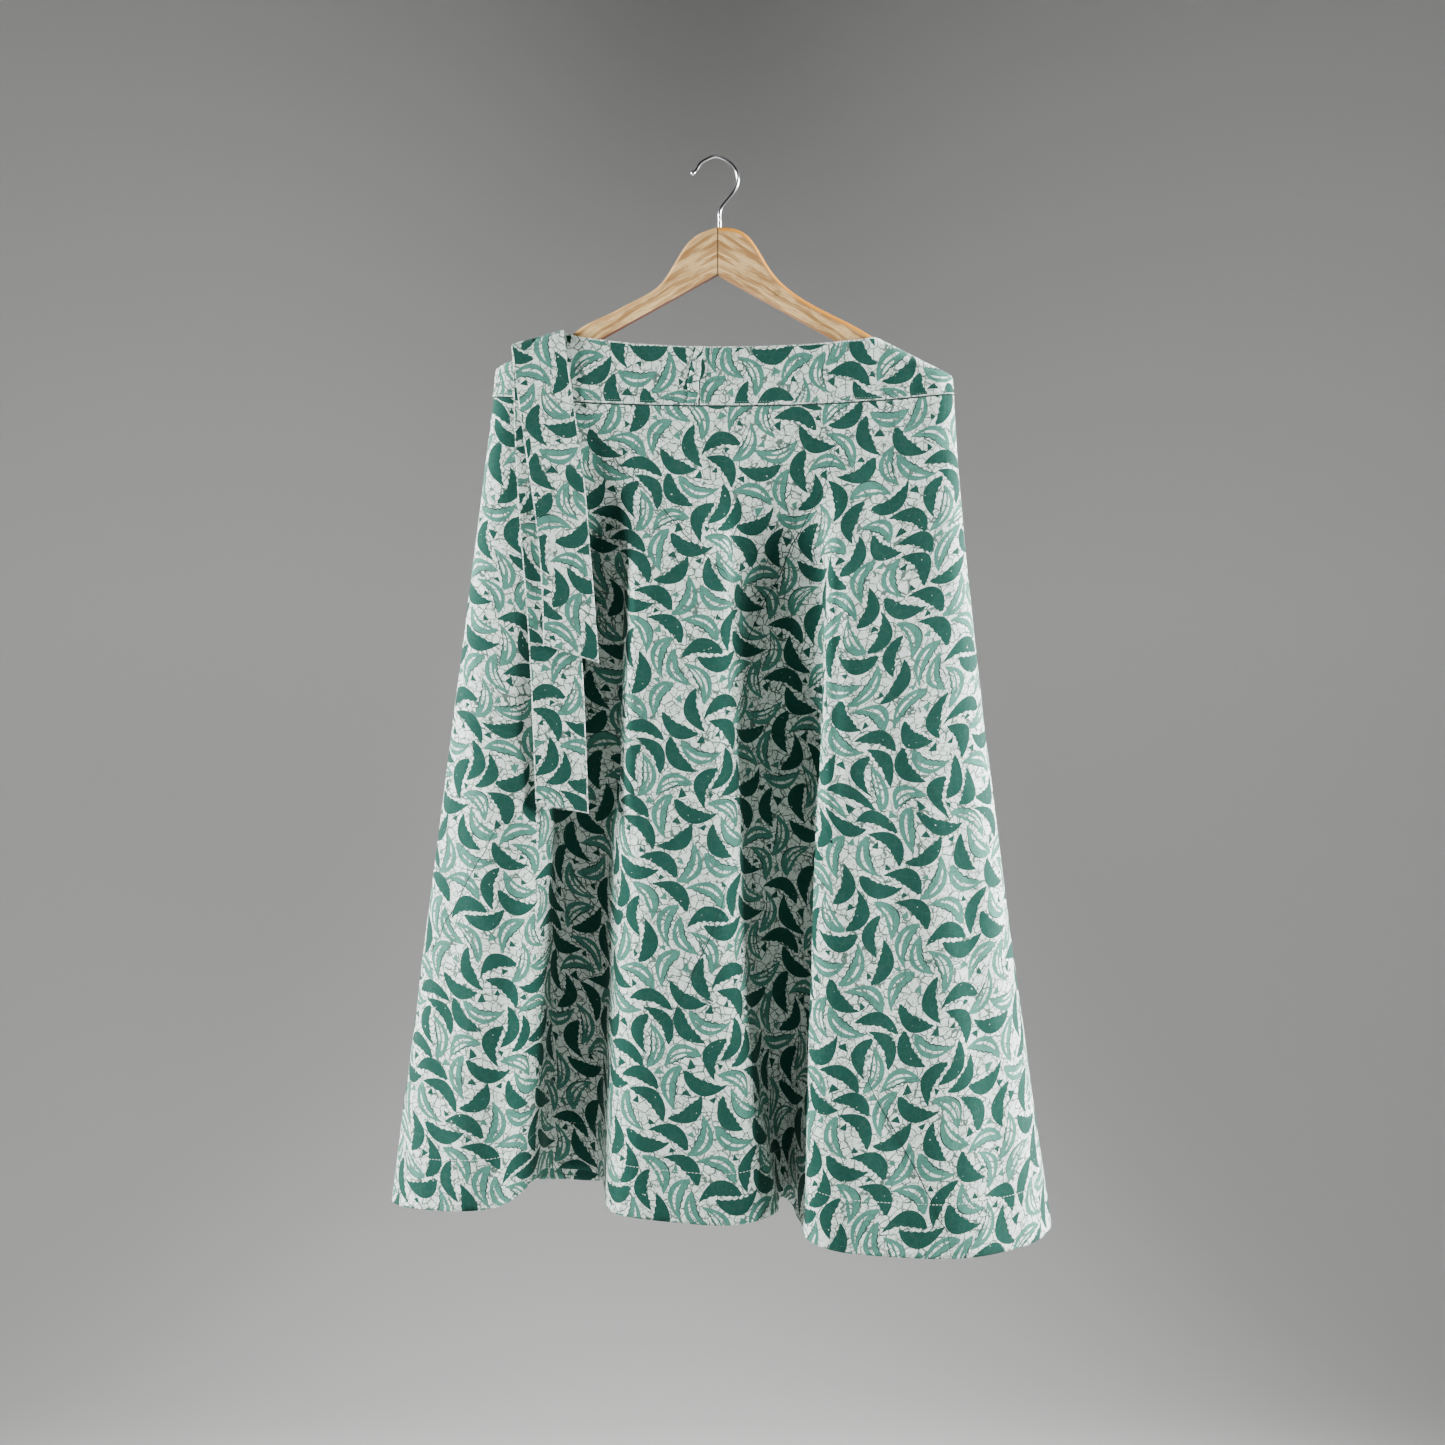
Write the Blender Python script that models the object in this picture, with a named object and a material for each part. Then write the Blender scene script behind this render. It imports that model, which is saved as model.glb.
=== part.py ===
"""A leaf-print wrap skirt hung by its waistband on a wooden clothes hanger.

Metres, +Z up, the skirt's front towards -Y. The origin is the point inside the top of the
wire hook on which the hanger hangs.

The skirt and its waistband are slices of one closed surface. q runs once round it: from the
left side (0) across the front to the right side (1), and along the back to the left side (2).
"""

import math

import bmesh
import bpy
import numpy as np

# Cloth
CLOTH = 0.0015
SEAM_GAP = 0.0003
LAP_LIFT = 0.0020
LAP_RAMP = 0.10
UNDER_SHARE = 0.66
LAP_BEHIND = 0.045
SIDE_GAP = 0.0015
FLARE = 1.08

# Mesh steps
FRONT_COLUMNS = 76
BACK_COLUMNS = 60
SKIRT_ROWS = 10
BAND_ROWS = 2
TIE_COLUMNS = 4
TIE_ROWS = 22

# The front edge of the skirt at its waist seam and at its hem, left to right.
# name, waist x, hem x, hem y, hem z, bow
FRONT_STATIONS = (
    ("left side", -0.2190, -0.3210, 0.004, -1.041, 1.0),
    ("left round", -0.2080, -0.3100, -0.036, -1.040, 1.0),
    ("left lobe rise", -0.1930, -0.2800, -0.064, -1.039, 1.0),
    ("left lobe crest", -0.1700, -0.2370, -0.078, -1.037, 1.0),
    ("left lobe fall", -0.1480, -0.1930, -0.068, -1.029, 1.0),
    ("valley 1 left wall", -0.1340, -0.1640, -0.034, -1.008, 1.0),
    ("valley 1 floor left", -0.1190, -0.1490, -0.004, -1.012, 1.0),
    ("valley 1 floor right", -0.1020, -0.1250, 0.004, -1.015, 1.0),
    ("valley 1 right wall", -0.0860, -0.1090, -0.020, -1.021, 1.0),
    ("lobe 2 left edge", -0.0680, -0.1040, -0.052, -1.038, 1.0),
    ("lobe 2 left shoulder", -0.0480, -0.0850, -0.075, -1.043, 1.0),
    ("lobe 2 crest", -0.0190, -0.0260, -0.085, -1.048, 1.0),
    ("lobe 2 right shoulder", 0.0000, 0.0350, -0.079, -1.048, 2.6),
    ("lobe 2 right edge", 0.0130, 0.0580, -0.058, -1.043, 3.4),
    ("valley 2 left wall", 0.0290, 0.0610, -0.024, -1.040, 3.0),
    ("valley 2 floor", 0.0680, 0.0680, 0.000, -1.038, 1.2),
    ("valley 2 right wall", 0.1010, 0.0790, -0.024, -1.044, 1.0),
    ("right lobe left edge", 0.1190, 0.0750, -0.062, -1.053, 1.2),
    ("right lobe left shoulder", 0.1330, 0.0930, -0.089, -1.065, 1.1),
    ("right lobe crest left", 0.1560, 0.1500, -0.101, -1.075, 1.1),
    ("right lobe crest", 0.1830, 0.2140, -0.099, -1.079, 1.1),
    ("right lobe fall", 0.2060, 0.2750, -0.082, -1.077, 1.2),
    ("right round", 0.2270, 0.3210, -0.043, -1.070, 1.2),
)

# The back edge, right to left, with the same columns.
BACK_STATIONS = (
    ("right side", 0.2385, 0.3360, 0.000, -1.064, 1.25),
    ("right back round", 0.2270, 0.3250, 0.044, -1.060, 1.2),
    ("right back lobe", 0.1960, 0.2760, 0.080, -1.056, 1.1),
    ("right back fall", 0.1560, 0.2150, 0.072, -1.050, 1.0),
    ("right back valley", 0.1240, 0.1690, 0.042, -1.040, 1.0),
    ("middle back rise", 0.0900, 0.1200, 0.068, -1.042, 1.0),
    ("middle back lobe", 0.0520, 0.0610, 0.094, -1.044, 1.0),
    ("middle back fall", 0.0160, 0.0060, 0.076, -1.040, 1.0),
    ("back valley", -0.0240, -0.0440, 0.040, -1.034, 1.0),
    ("left back rise", -0.0660, -0.0950, 0.066, -1.036, 1.0),
    ("left back lobe", -0.1140, -0.1650, 0.090, -1.038, 1.0),
    ("left back fall", -0.1660, -0.2370, 0.080, -1.039, 1.0),
    ("left back round", -0.2070, -0.3030, 0.044, -1.040, 1.0),
)

# The waistband from its open top to its seam with the skirt. It slopes over the hanger's arms.
# name, left x, right x, left z, right z, middle z, half depth
BAND_LEVELS = (
    ("top", -0.1490, 0.1630, -0.1785, -0.1805, -0.1905, 0.0095),
    ("corner", -0.2160, 0.2370, -0.2120, -0.2180, -0.2220, 0.0105),
    ("seam", -0.2190, 0.2385, -0.2390, -0.2360, -0.2490, 0.0110),
)
BAND_ROUND = 6

# The two ties hang in front of the left side, over the shoulder of the band.
# name, z, middle x, width
FRONT_TIE = (
    ("fold", -0.1802, -0.1765, 0.0510),
    ("waist", -0.2310, -0.1700, 0.0530),
    ("below waist", -0.3120, -0.1580, 0.0540),
    ("middle", -0.3870, -0.1490, 0.0510),
    ("end", -0.4880, -0.1415, 0.0550),
)
REAR_TIE = (
    ("fold", -0.1828, -0.1770, 0.0490),
    ("waist", -0.2500, -0.1740, 0.0510),
    ("below waist", -0.3120, -0.1710, 0.0520),
    ("middle", -0.4660, -0.1590, 0.0520),
    ("end", -0.6440, -0.1500, 0.0520),
)
TIE_SLANT = {"tie_front": -0.018, "tie_rear": -0.010}
TIE_FOLD_SLOPE = 0.27
TIE_STEP = 0.0024
TIE_REACH = 0.034
# The arch over the shoulder: share of the depth, drop below the fold.
TIE_ARCH = ((0.80, 0.0020), (1.00, 0.0070))
TIE_BEHIND = (0.0200, 0.0380)

# The folded end of the band, lying on its front near the middle: x at the waist seam.
LAP_STRIP_X = (-0.0310, -0.0160)
LAP_STRIP_STEP = 0.0019

# The hanger's two arms, from the middle seam to their tips.
# name, distance from the middle, top z
MIDDLE_X = 0.0027
LEFT_ARM = (
    ("middle seam", 0.0002, -0.0695),
    ("neck", 0.0170, -0.0755),
    ("shoulder start", 0.0335, -0.0900),
    ("shoulder", 0.0430, -0.1055),
    ("shoulder end", 0.0545, -0.1235),
    ("inner arm", 0.0670, -0.1345),
    ("arm", 0.0850, -0.1440),
    ("outer arm", 0.1100, -0.1570),
    ("waist opening", 0.1330, -0.1680),
    ("covered arm", 0.1540, -0.1828),
    ("near tip", 0.1980, -0.2050),
    ("tip", 0.2070, -0.2105),
)
RIGHT_ARM = (
    ("middle seam", 0.0002, -0.0695),
    ("neck", 0.0170, -0.0710),
    ("shoulder start", 0.0335, -0.0820),
    ("shoulder", 0.0430, -0.0965),
    ("shoulder end", 0.0525, -0.1120),
    ("inner arm", 0.0655, -0.1268),
    ("arm", 0.0845, -0.1410),
    ("outer arm", 0.1130, -0.1565),
    ("waist opening", 0.1385, -0.1695),
    ("covered arm", 0.1625, -0.1835),
    ("near tip", 0.2080, -0.2070),
    ("tip", 0.2190, -0.2140),
)
ARM_HALF = 0.0065
ARM_TIP_HALF = 0.0050
UNDERSIDE_APEX = -0.1180
UNDERSIDE_SLOPE = 0.556
ARM_TIP_ROUND = 0.010
ARM_STEPS = 22
ARM_SIDES = 12
ARM_SQUARE = 2.6

# The wire hook, from its ball tip over the top and down into the wood: x, z
HOOK_WIRE = 0.0017
HOOK_BALL = 0.0025
HOOK_SIDES = 8
HOOK_ROUTE = (
    ("tip", -0.0244, -0.0163),
    ("tip bend", -0.0196, -0.0131),
    ("rise", -0.0150, -0.0060),
    ("left of top", -0.0075, -0.0010),
    ("top", 0.0005, 0.0017),
    ("right of top", 0.0090, -0.0010),
    ("right shoulder", 0.0165, -0.0062),
    ("right", 0.0228, -0.0190),
    ("right below", 0.0200, -0.0315),
    ("neck bend", 0.0105, -0.0440),
    ("shank bend", 0.0047, -0.0540),
    ("shank", 0.0046, -0.0600),
    ("shank end", 0.0046, -0.0698),
)
HOOK_STEPS = 40


def spline(knots, values, at, period=None):
    """A cubic curve through values at knots: natural at its ends, or closed with a period."""
    knots = np.asarray(knots, float)
    values = np.asarray(values, float)
    at = np.asarray(at, float)
    if period:
        turns = np.arange(-1, 2)[:, None] * period
        knots = (knots[None] + turns).ravel()
        values = np.concatenate([values, values, values])
        at = np.mod(at, period)
    gaps = np.diff(knots)
    count = len(knots)
    system = np.eye(count)
    right = np.zeros(values.shape)
    slopes = np.diff(values, axis=0) / gaps.reshape((-1,) + (1,) * (values.ndim - 1))
    for i in range(1, count - 1):
        system[i, i - 1:i + 2] = gaps[i - 1], 2 * (gaps[i - 1] + gaps[i]), gaps[i]
        right[i] = 6 * (slopes[i] - slopes[i - 1])
    bends = np.linalg.solve(system, right)
    k = np.clip(np.searchsorted(knots, at, side="right") - 1, 0, count - 2)
    shape = (-1,) + (1,) * (values.ndim - 1)
    span = gaps[k].reshape(shape)
    b = (at - knots[k]).reshape(shape)
    a = span - b
    ends = (bends[k] * a ** 3 + bends[k + 1] * b ** 3) / (6 * span)
    left = (values[k] / span - bends[k] * span / 6) * a
    return ends + left + (values[k + 1] / span - bends[k + 1] * span / 6) * b


def column(rows, index):
    return np.array([row[index] for row in rows], float)


def station_knots():
    """q of each station: its share of the way round the hem, from 0 to 1 in front, to 2 behind."""
    rows = FRONT_STATIONS + BACK_STATIONS
    hem = np.stack([column(rows, 2), column(rows, 3)], axis=1)
    steps = np.linalg.norm(np.roll(hem, -1, axis=0) - hem, axis=1)
    along = np.concatenate([[0.0], np.cumsum(steps)])
    half = along[len(FRONT_STATIONS)]
    front = along[:len(FRONT_STATIONS)] / half
    back = 1 + (along[len(FRONT_STATIONS):-1] - half) / (along[-1] - half)
    return np.concatenate([front, back])


def band_ring(level):
    """The stations' places on the waistband, from level 0 at its top to 1 at its seam."""
    heights = np.linspace(0, 1, len(BAND_LEVELS))
    left, right, left_z, right_z, middle_z, deep = (
        np.interp(level, heights, column(BAND_LEVELS, i)) for i in range(1, 7)
    )
    waist = np.concatenate([column(FRONT_STATIONS, 1), column(BACK_STATIONS, 1)])
    share = (waist - waist.min()) / (waist.max() - waist.min())
    side = 2 * share - 1
    x = left + share * (right - left)
    facing = np.where(np.arange(len(waist)) < len(FRONT_STATIONS), -1.0, 1.0)
    y = facing * deep * (1 - np.abs(side) ** BAND_ROUND) ** (1 / BAND_ROUND)
    side_z = np.where(side < 0, left_z, right_z)
    z = middle_z + (side_z - middle_z) * np.abs(side) ** 2.2
    return np.stack([x, y, z], axis=1)


def skirt_ring(fall):
    """The stations' places on the skirt, from fall 0 at the waist seam to 1 at the hem."""
    rows = FRONT_STATIONS + BACK_STATIONS
    waist = band_ring(1.0)
    x = waist[:, 0] + (column(rows, 2) - waist[:, 0]) * fall ** column(rows, 5)
    y = waist[:, 1] + (column(rows, 3) - waist[:, 1]) * fall ** FLARE
    z = waist[:, 2] + (column(rows, 4) - waist[:, 2]) * fall
    return np.stack([x, y, z], axis=1)


def ring_points(ring, q):
    return spline(station_knots(), ring, q, period=2.0)


def surface(q, levels, ring):
    """Points of the closed surface, one row for each level, and its outward directions."""
    step = 1e-3
    points = np.stack([ring_points(ring(level), q) for level in levels])
    ahead = np.stack([ring_points(ring(level), q + step) for level in levels])
    behind = np.stack([ring_points(ring(level), q - step) for level in levels])
    along = ahead - behind
    down = np.gradient(points, axis=0)
    out = np.cross(down, along)
    out /= np.linalg.norm(out, axis=2, keepdims=True)
    return points, out


def lap_lift(q):
    """How far the outer front lies outside the layer below it: level with it at the right side."""
    ramp = np.clip((1.0 - np.asarray(q)) / LAP_RAMP, 0, 1)
    return LAP_LIFT * ramp * ramp * (3 - 2 * ramp)


def material(name, colour, roughness, metallic=0.0):
    made = bpy.data.materials.new(name)
    made.use_nodes = True
    shader = made.node_tree.nodes["Principled BSDF"]
    shader.inputs["Base Color"].default_value = (*colour, 1.0)
    shader.inputs["Roughness"].default_value = roughness
    shader.inputs["Metallic"].default_value = metallic
    return made


def add_object(name, vertices, faces, finish, smooth=False):
    mesh = bpy.data.meshes.new(name)
    mesh.from_pydata([tuple(v) for v in vertices], [], faces)
    work = bmesh.new()
    work.from_mesh(mesh)
    bmesh.ops.recalc_face_normals(work, faces=work.faces)
    work.to_mesh(mesh)
    work.free()
    if smooth:
        mesh.shade_smooth()
    made = bpy.data.objects.new(name, mesh)
    made.data.materials.append(finish)
    bpy.context.scene.collection.objects.link(made)
    return made


def wall(name, points, out, finish):
    """A closed cloth wall round a grid of middle points, half its thickness to either side."""
    rows, columns = points.shape[:2]
    outer = (points + out * CLOTH / 2).reshape(-1, 3)
    inner = (points - out * CLOTH / 2).reshape(-1, 3)
    size = rows * columns
    faces = []
    for r in range(rows - 1):
        for c in range(columns - 1):
            a = r * columns + c
            faces.append((a, a + columns, a + columns + 1, a + 1))
            faces.append((size + a, size + a + 1, size + a + columns + 1, size + a + columns))
    rim = list(range(columns))
    rim += [r * columns + columns - 1 for r in range(1, rows)]
    rim += [(rows - 1) * columns + c for c in range(columns - 2, -1, -1)]
    rim += [r * columns for r in range(rows - 2, 0, -1)]
    for a, b in zip(rim, rim[1:] + rim[:1]):
        faces.append((a, b, size + b, size + a))
    return add_object(name, np.concatenate([outer, inner]), faces, finish, smooth=True)


def slice_of_skirt(name, q, levels, ring, lift, finish):
    points, out = surface(q, levels, ring)
    points = points + out * np.asarray(lift).reshape(1, -1, 1)
    return wall(name, points, out, finish)


def columns_between(start, end):
    """The shared columns of the surface between two places round it, ends included."""
    front = np.linspace(0, 1, FRONT_COLUMNS + 1)
    back = np.linspace(1, 2, BACK_COLUMNS + 1)[1:]
    every = np.concatenate([back[:-1] - 2, front, back])
    inside = every[(every > start + 1e-4) & (every < end - 1e-4)]
    return np.concatenate([[start], inside, [end]])


def skirt_and_band():
    """Outer front, under front and back, each with its length of the waistband."""
    print_cloth = material("leaf_print_cloth", (0.36, 0.42, 0.36), 0.85)
    band_cloth = material("band_cloth", (0.40, 0.45, 0.39), 0.85)
    falls = np.linspace(SEAM_GAP / 0.8, 1, SKIRT_ROWS + 1)
    band_falls = np.concatenate([np.linspace(0, 0.5, BAND_ROWS + 1), [1.0]])
    outer_q = columns_between(-LAP_BEHIND, 1.0 - SIDE_GAP)
    under_q = columns_between(SIDE_GAP, UNDER_SHARE)
    back_q = columns_between(1.0 + SIDE_GAP, 2.0 - SIDE_GAP)
    slices = (
        ("front", outer_q, lap_lift(outer_q)),
        ("under", under_q, np.zeros(len(under_q))),
        ("back", back_q, np.zeros(len(back_q))),
    )
    for name, q, lift in slices:
        slice_of_skirt("skirt_" + name, q, falls, skirt_ring, lift, print_cloth)
        slice_of_skirt("band_" + name, q, band_falls, band_ring, lift, band_cloth)


def front_reach():
    """How far forward the band and the skirt come under the ties: heights and least y."""
    q = np.linspace(0.0, 0.5, 160)
    rings = [band_ring(s) for s in np.linspace(0, 1, 5)]
    rings += [skirt_ring(t) for t in np.linspace(0.04, 1, 22)]
    heights = []
    depths = []
    for ring in rings:
        points = ring_points(ring, q)
        middle = np.interp(-points[:, 2].mean(), -column(REAR_TIE, 1), column(REAR_TIE, 2))
        near = np.abs(points[:, 0] - middle) < TIE_REACH
        heights.append(points[near, 2].mean())
        depths.append(points[near, 1].min())
    order = np.argsort(heights)
    reach = np.minimum(np.array(depths), -BAND_LEVELS[-1][6])
    return np.array(heights)[order], reach[order]


def tie(name, rows, layer, finish):
    """A tie laid over the left shoulder of the band, in front down to its slanted end."""
    z_rows = column(rows, 1)
    fold = z_rows[0]
    z = np.linspace(fold - 2 * TIE_ARCH[-1][1], z_rows[-1], TIE_ROWS + 1)
    middle = spline(-z_rows, column(rows, 2), -z)
    width = spline(-z_rows, column(rows, 3), -z)
    clear = LAP_LIFT + CLOTH + SEAM_GAP + layer * TIE_STEP
    heights, reach = front_reach()
    half_depth = BAND_LEVELS[-1][6] + clear
    across = np.linspace(-0.5, 0.5, TIE_COLUMNS + 1)
    top_x = rows[0][2] + across * rows[0][3]
    top_z = fold + TIE_FOLD_SLOPE * across * rows[0][3]
    arch = [(drop, share * half_depth) for share, drop in TIE_ARCH]
    behind = [(drop, half_depth) for drop in TIE_BEHIND]
    over = [(drop, y) for drop, y in (arch + behind)[::-1]] + [(0.0, 0.0)]
    over += [(drop, -y) for drop, y in arch]
    grid = [np.stack([top_x, np.full_like(top_x, y), top_z - drop], axis=1) for drop, y in over]
    for k, share in enumerate(np.linspace(0, 1, TIE_ROWS + 1)):
        x = middle[k] + across * width[k]
        fold_rise = TIE_FOLD_SLOPE * across * width[k] * (1 - share) ** 4
        slant = TIE_SLANT[name] * (across + 0.5) * share ** 6
        height = z[k] + fold_rise + slant
        grid.append(np.stack([x, np.interp(height, heights, reach) - clear, height], axis=1))
    grid = np.stack(grid)
    along = np.gradient(grid, axis=1)
    down = np.gradient(grid, axis=0)
    out = np.cross(down, along)
    out /= np.linalg.norm(out, axis=2, keepdims=True)
    return wall(name, grid, out, finish)


def ties():
    cloth = material("tie_cloth", (0.38, 0.44, 0.38), 0.85)
    tie("tie_front", FRONT_TIE, 1.0, cloth)
    tie("tie_rear", REAR_TIE, 0.0, cloth)


def lap_strip():
    """The band's folded end: a narrow strip on the front of the band."""
    cloth = material("lap_cloth", (0.42, 0.47, 0.41), 0.85)
    front_knots = station_knots()[:len(FRONT_STATIONS)]
    edges = np.interp(LAP_STRIP_X, column(FRONT_STATIONS, 1), front_knots)
    q = np.linspace(*edges, 4)
    lift = lap_lift(q) + LAP_STRIP_STEP
    slice_of_skirt("band_lap", q, np.linspace(0, 0.96, 5), band_ring, lift, cloth)


def tube(name, rings, finish):
    """A closed solid through rings of equal count, with flat ends."""
    sides = len(rings[0])
    vertices = np.concatenate(rings)
    faces = [tuple(range(sides)), tuple(range(len(vertices) - sides, len(vertices)))]
    for r in range(len(rings) - 1):
        for s in range(sides):
            a = r * sides + s
            b = r * sides + (s + 1) % sides
            faces.append((a, b, b + sides, a + sides))
    return add_object(name, vertices, faces, finish, smooth=True)


def arm(name, facing, stations, finish):
    """One wooden half of the hanger, a rounded bar from the middle seam to its tip."""
    away = column(stations, 1)
    fine = np.interp(np.linspace(0, 1, ARM_STEPS + 1), np.linspace(0, 1, len(away)), away)
    top = np.interp(fine, away, column(stations, 2))
    from_tip = np.clip((away[-1] - fine) / ARM_TIP_ROUND, 0, 1)
    bottom = UNDERSIDE_APEX - UNDERSIDE_SLOPE * fine
    bottom += ARM_TIP_ROUND * (1 - np.sqrt(1 - (1 - from_tip) ** 2))
    half = ARM_TIP_HALF + (ARM_HALF - ARM_TIP_HALF) * from_tip
    angles = np.linspace(0, 2 * math.pi, ARM_SIDES, endpoint=False) + math.pi / ARM_SIDES
    across = np.sign(np.cos(angles)) * np.abs(np.cos(angles)) ** (2 / ARM_SQUARE)
    upward = np.sign(np.sin(angles)) * np.abs(np.sin(angles)) ** (2 / ARM_SQUARE)
    rings = []
    for k, distance in enumerate(fine):
        x = np.full(ARM_SIDES, MIDDLE_X + facing * distance)
        z = (top[k] + bottom[k]) / 2 + (top[k] - bottom[k]) / 2 * upward
        rings.append(np.stack([x, half[k] * across, z], axis=1))
    return tube(name, rings, finish)


def hanger():
    wood = material("pale_wood", (0.62, 0.47, 0.29), 0.45)
    arm("hanger_left", -1, LEFT_ARM, wood)
    arm("hanger_right", 1, RIGHT_ARM, wood)


def hook():
    """The chrome wire hook, with a ball at its tip."""
    chrome = material("chrome_wire", (0.75, 0.75, 0.77), 0.18, 1.0)
    route = np.stack([column(HOOK_ROUTE, 1), column(HOOK_ROUTE, 2)], axis=1)
    steps = np.linalg.norm(np.diff(route, axis=0), axis=1)
    along = np.concatenate([[0.0], np.cumsum(steps)])
    at = np.linspace(0, along[-1], HOOK_STEPS)
    line = spline(along, route, at)
    angles = np.linspace(0, 2 * math.pi, HOOK_SIDES, endpoint=False)
    direction = np.gradient(line, axis=0)
    direction /= np.linalg.norm(direction, axis=1, keepdims=True)
    radius = np.full(HOOK_STEPS, HOOK_WIRE)
    radius[:3] = HOOK_BALL * 0.6, HOOK_BALL, HOOK_BALL * 0.9
    rings = []
    for point, ahead, size in zip(line, direction, radius):
        side = np.array([-ahead[1], 0.0, ahead[0]])
        depth = np.array([0.0, 1.0, 0.0])
        ring = np.cos(angles)[:, None] * side + np.sin(angles)[:, None] * depth
        rings.append(np.array([point[0], 0.0, point[1]]) + size * ring)
    tube("hanger_hook", rings, chrome)


def build():
    for old in list(bpy.data.objects):
        bpy.data.objects.remove(old, do_unlink=True)
    skirt_and_band()
    ties()
    lap_strip()
    hanger()
    hook()


build()
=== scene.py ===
"""The looks of a leaf-print wrap skirt on a wooden hanger: printed cloth, seams, wood and wire.

Metres, +Z up, the skirt's front towards -Y. The origin is inside the top of the wire hook.
Each cloth piece is a fine grid on the skirt's surface. The print is laid out flat, cut to the
piece's flat shape, and carried onto the grid by its lengths along and down the cloth.
"""

import math

import bpy
import numpy as np
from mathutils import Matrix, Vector
from mathutils.geometry import delaunay_2d_cdt
from mathutils.kdtree import KDTree


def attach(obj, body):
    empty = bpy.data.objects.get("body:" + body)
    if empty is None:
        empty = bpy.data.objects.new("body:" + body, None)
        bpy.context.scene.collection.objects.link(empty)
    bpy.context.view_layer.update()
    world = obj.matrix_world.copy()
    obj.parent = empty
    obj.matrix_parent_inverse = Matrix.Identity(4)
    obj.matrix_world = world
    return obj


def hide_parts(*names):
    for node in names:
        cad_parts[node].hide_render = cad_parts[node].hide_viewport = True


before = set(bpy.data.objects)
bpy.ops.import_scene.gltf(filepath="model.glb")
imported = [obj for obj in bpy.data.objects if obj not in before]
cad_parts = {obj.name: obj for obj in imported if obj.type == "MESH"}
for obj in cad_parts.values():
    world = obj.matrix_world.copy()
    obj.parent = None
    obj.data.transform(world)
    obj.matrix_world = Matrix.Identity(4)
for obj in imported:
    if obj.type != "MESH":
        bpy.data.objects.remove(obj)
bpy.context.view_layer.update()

# Cloth
SKIRT_ROWS = 150
BAND_ROWS = 30
COLUMNS = {"front": 760, "under": 420, "back": 640}
THICK = 0.0007
BAND_THICK = 0.0014
BAND_STEP = 0.0004
TIE_THICK = 0.0013
LAP_LIFT = 0.0020
LAP_RAMP = 0.10
UNDER_SHARE = 0.66
LAP_BEHIND = 0.045
SIDE_MEET = 0.0003
FLARE = 1.08
SEED = 7

# The front edge of the skirt at its waist seam and at its hem, left to right.
# name, waist x, hem x, hem y, hem z, bow
FRONT_STATIONS = (
    ("left side", -0.219, -0.321, 0.004, -1.041, 1.0),
    ("left round", -0.208, -0.31, -0.036, -1.04, 1.0),
    ("left lobe rise", -0.193, -0.28, -0.064, -1.039, 1.0),
    ("left lobe crest", -0.17, -0.237, -0.078, -1.037, 1.0),
    ("left lobe fall", -0.148, -0.198, -0.06, -1.029, 1.0),
    ("valley 1 left wall", -0.134, -0.168, -0.026, -1.008, 1.0),
    ("valley 1 floor left", -0.119, -0.149, -0.004, -1.012, 1.0),
    ("valley 1 floor right", -0.102, -0.125, 0.004, -1.015, 1.0),
    ("valley 1 right wall", -0.086, -0.109, -0.02, -1.021, 1.0),
    ("lobe 2 left edge", -0.068, -0.104, -0.052, -1.038, 1.0),
    ("lobe 2 left shoulder", -0.048, -0.085, -0.075, -1.043, 1.0),
    ("lobe 2 crest", -0.019, -0.026, -0.085, -1.048, 1.0),
    ("lobe 2 right shoulder", 0.0000, 0.035, -0.079, -1.048, 2.6),
    ("lobe 2 right edge", 0.013, 0.058, -0.058, -1.043, 3.4),
    ("valley 2 left wall", 0.029, 0.061, -0.024, -1.04, 3.0),
    ("valley 2 floor", 0.068, 0.068, 0.000, -1.038, 1.2),
    ("valley 2 right wall", 0.101, 0.079, -0.024, -1.044, 1.0),
    ("right lobe left edge", 0.119, 0.075, -0.062, -1.053, 1.2),
    ("right lobe left shoulder", 0.133, 0.093, -0.089, -1.065, 1.1),
    ("right lobe crest left", 0.156, 0.15, -0.101, -1.075, 1.1),
    ("right lobe crest", 0.183, 0.214, -0.099, -1.079, 1.1),
    ("right lobe fall", 0.206, 0.275, -0.082, -1.077, 1.2),
    ("right round", 0.227, 0.321, -0.043, -1.07, 1.2),
)

# The back edge, right to left, with the same columns.
BACK_STATIONS = (
    ("right side", 0.2385, 0.336, 0.000, -1.064, 1.25),
    ("right back round", 0.227, 0.325, 0.044, -1.06, 1.2),
    ("right back lobe", 0.196, 0.276, 0.08, -1.056, 1.1),
    ("right back fall", 0.156, 0.215, 0.072, -1.05, 1.0),
    ("right back valley", 0.124, 0.169, 0.042, -1.04, 1.0),
    ("middle back rise", 0.09, 0.12, 0.068, -1.042, 1.0),
    ("middle back lobe", 0.052, 0.061, 0.094, -1.044, 1.0),
    ("middle back fall", 0.016, 0.006, 0.076, -1.04, 1.0),
    ("back valley", -0.024, -0.044, 0.04, -1.034, 1.0),
    ("left back rise", -0.066, -0.095, 0.066, -1.036, 1.0),
    ("left back lobe", -0.114, -0.165, 0.09, -1.038, 1.0),
    ("left back fall", -0.166, -0.237, 0.08, -1.039, 1.0),
    ("left back round", -0.207, -0.303, 0.044, -1.04, 1.0),
)

# The waistband from its open top to its seam with the skirt.
# name, left x, right x, left z, right z, middle z, half depth
BAND_LEVELS = (
    ("top", -0.149, 0.163, -0.1785, -0.1805, -0.1905, 0.0095),
    ("corner", -0.216, 0.237, -0.212, -0.218, -0.222, 0.0105),
    ("seam", -0.219, 0.2385, -0.239, -0.236, -0.249, 0.011),
)
BAND_ROUND = 6

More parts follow.
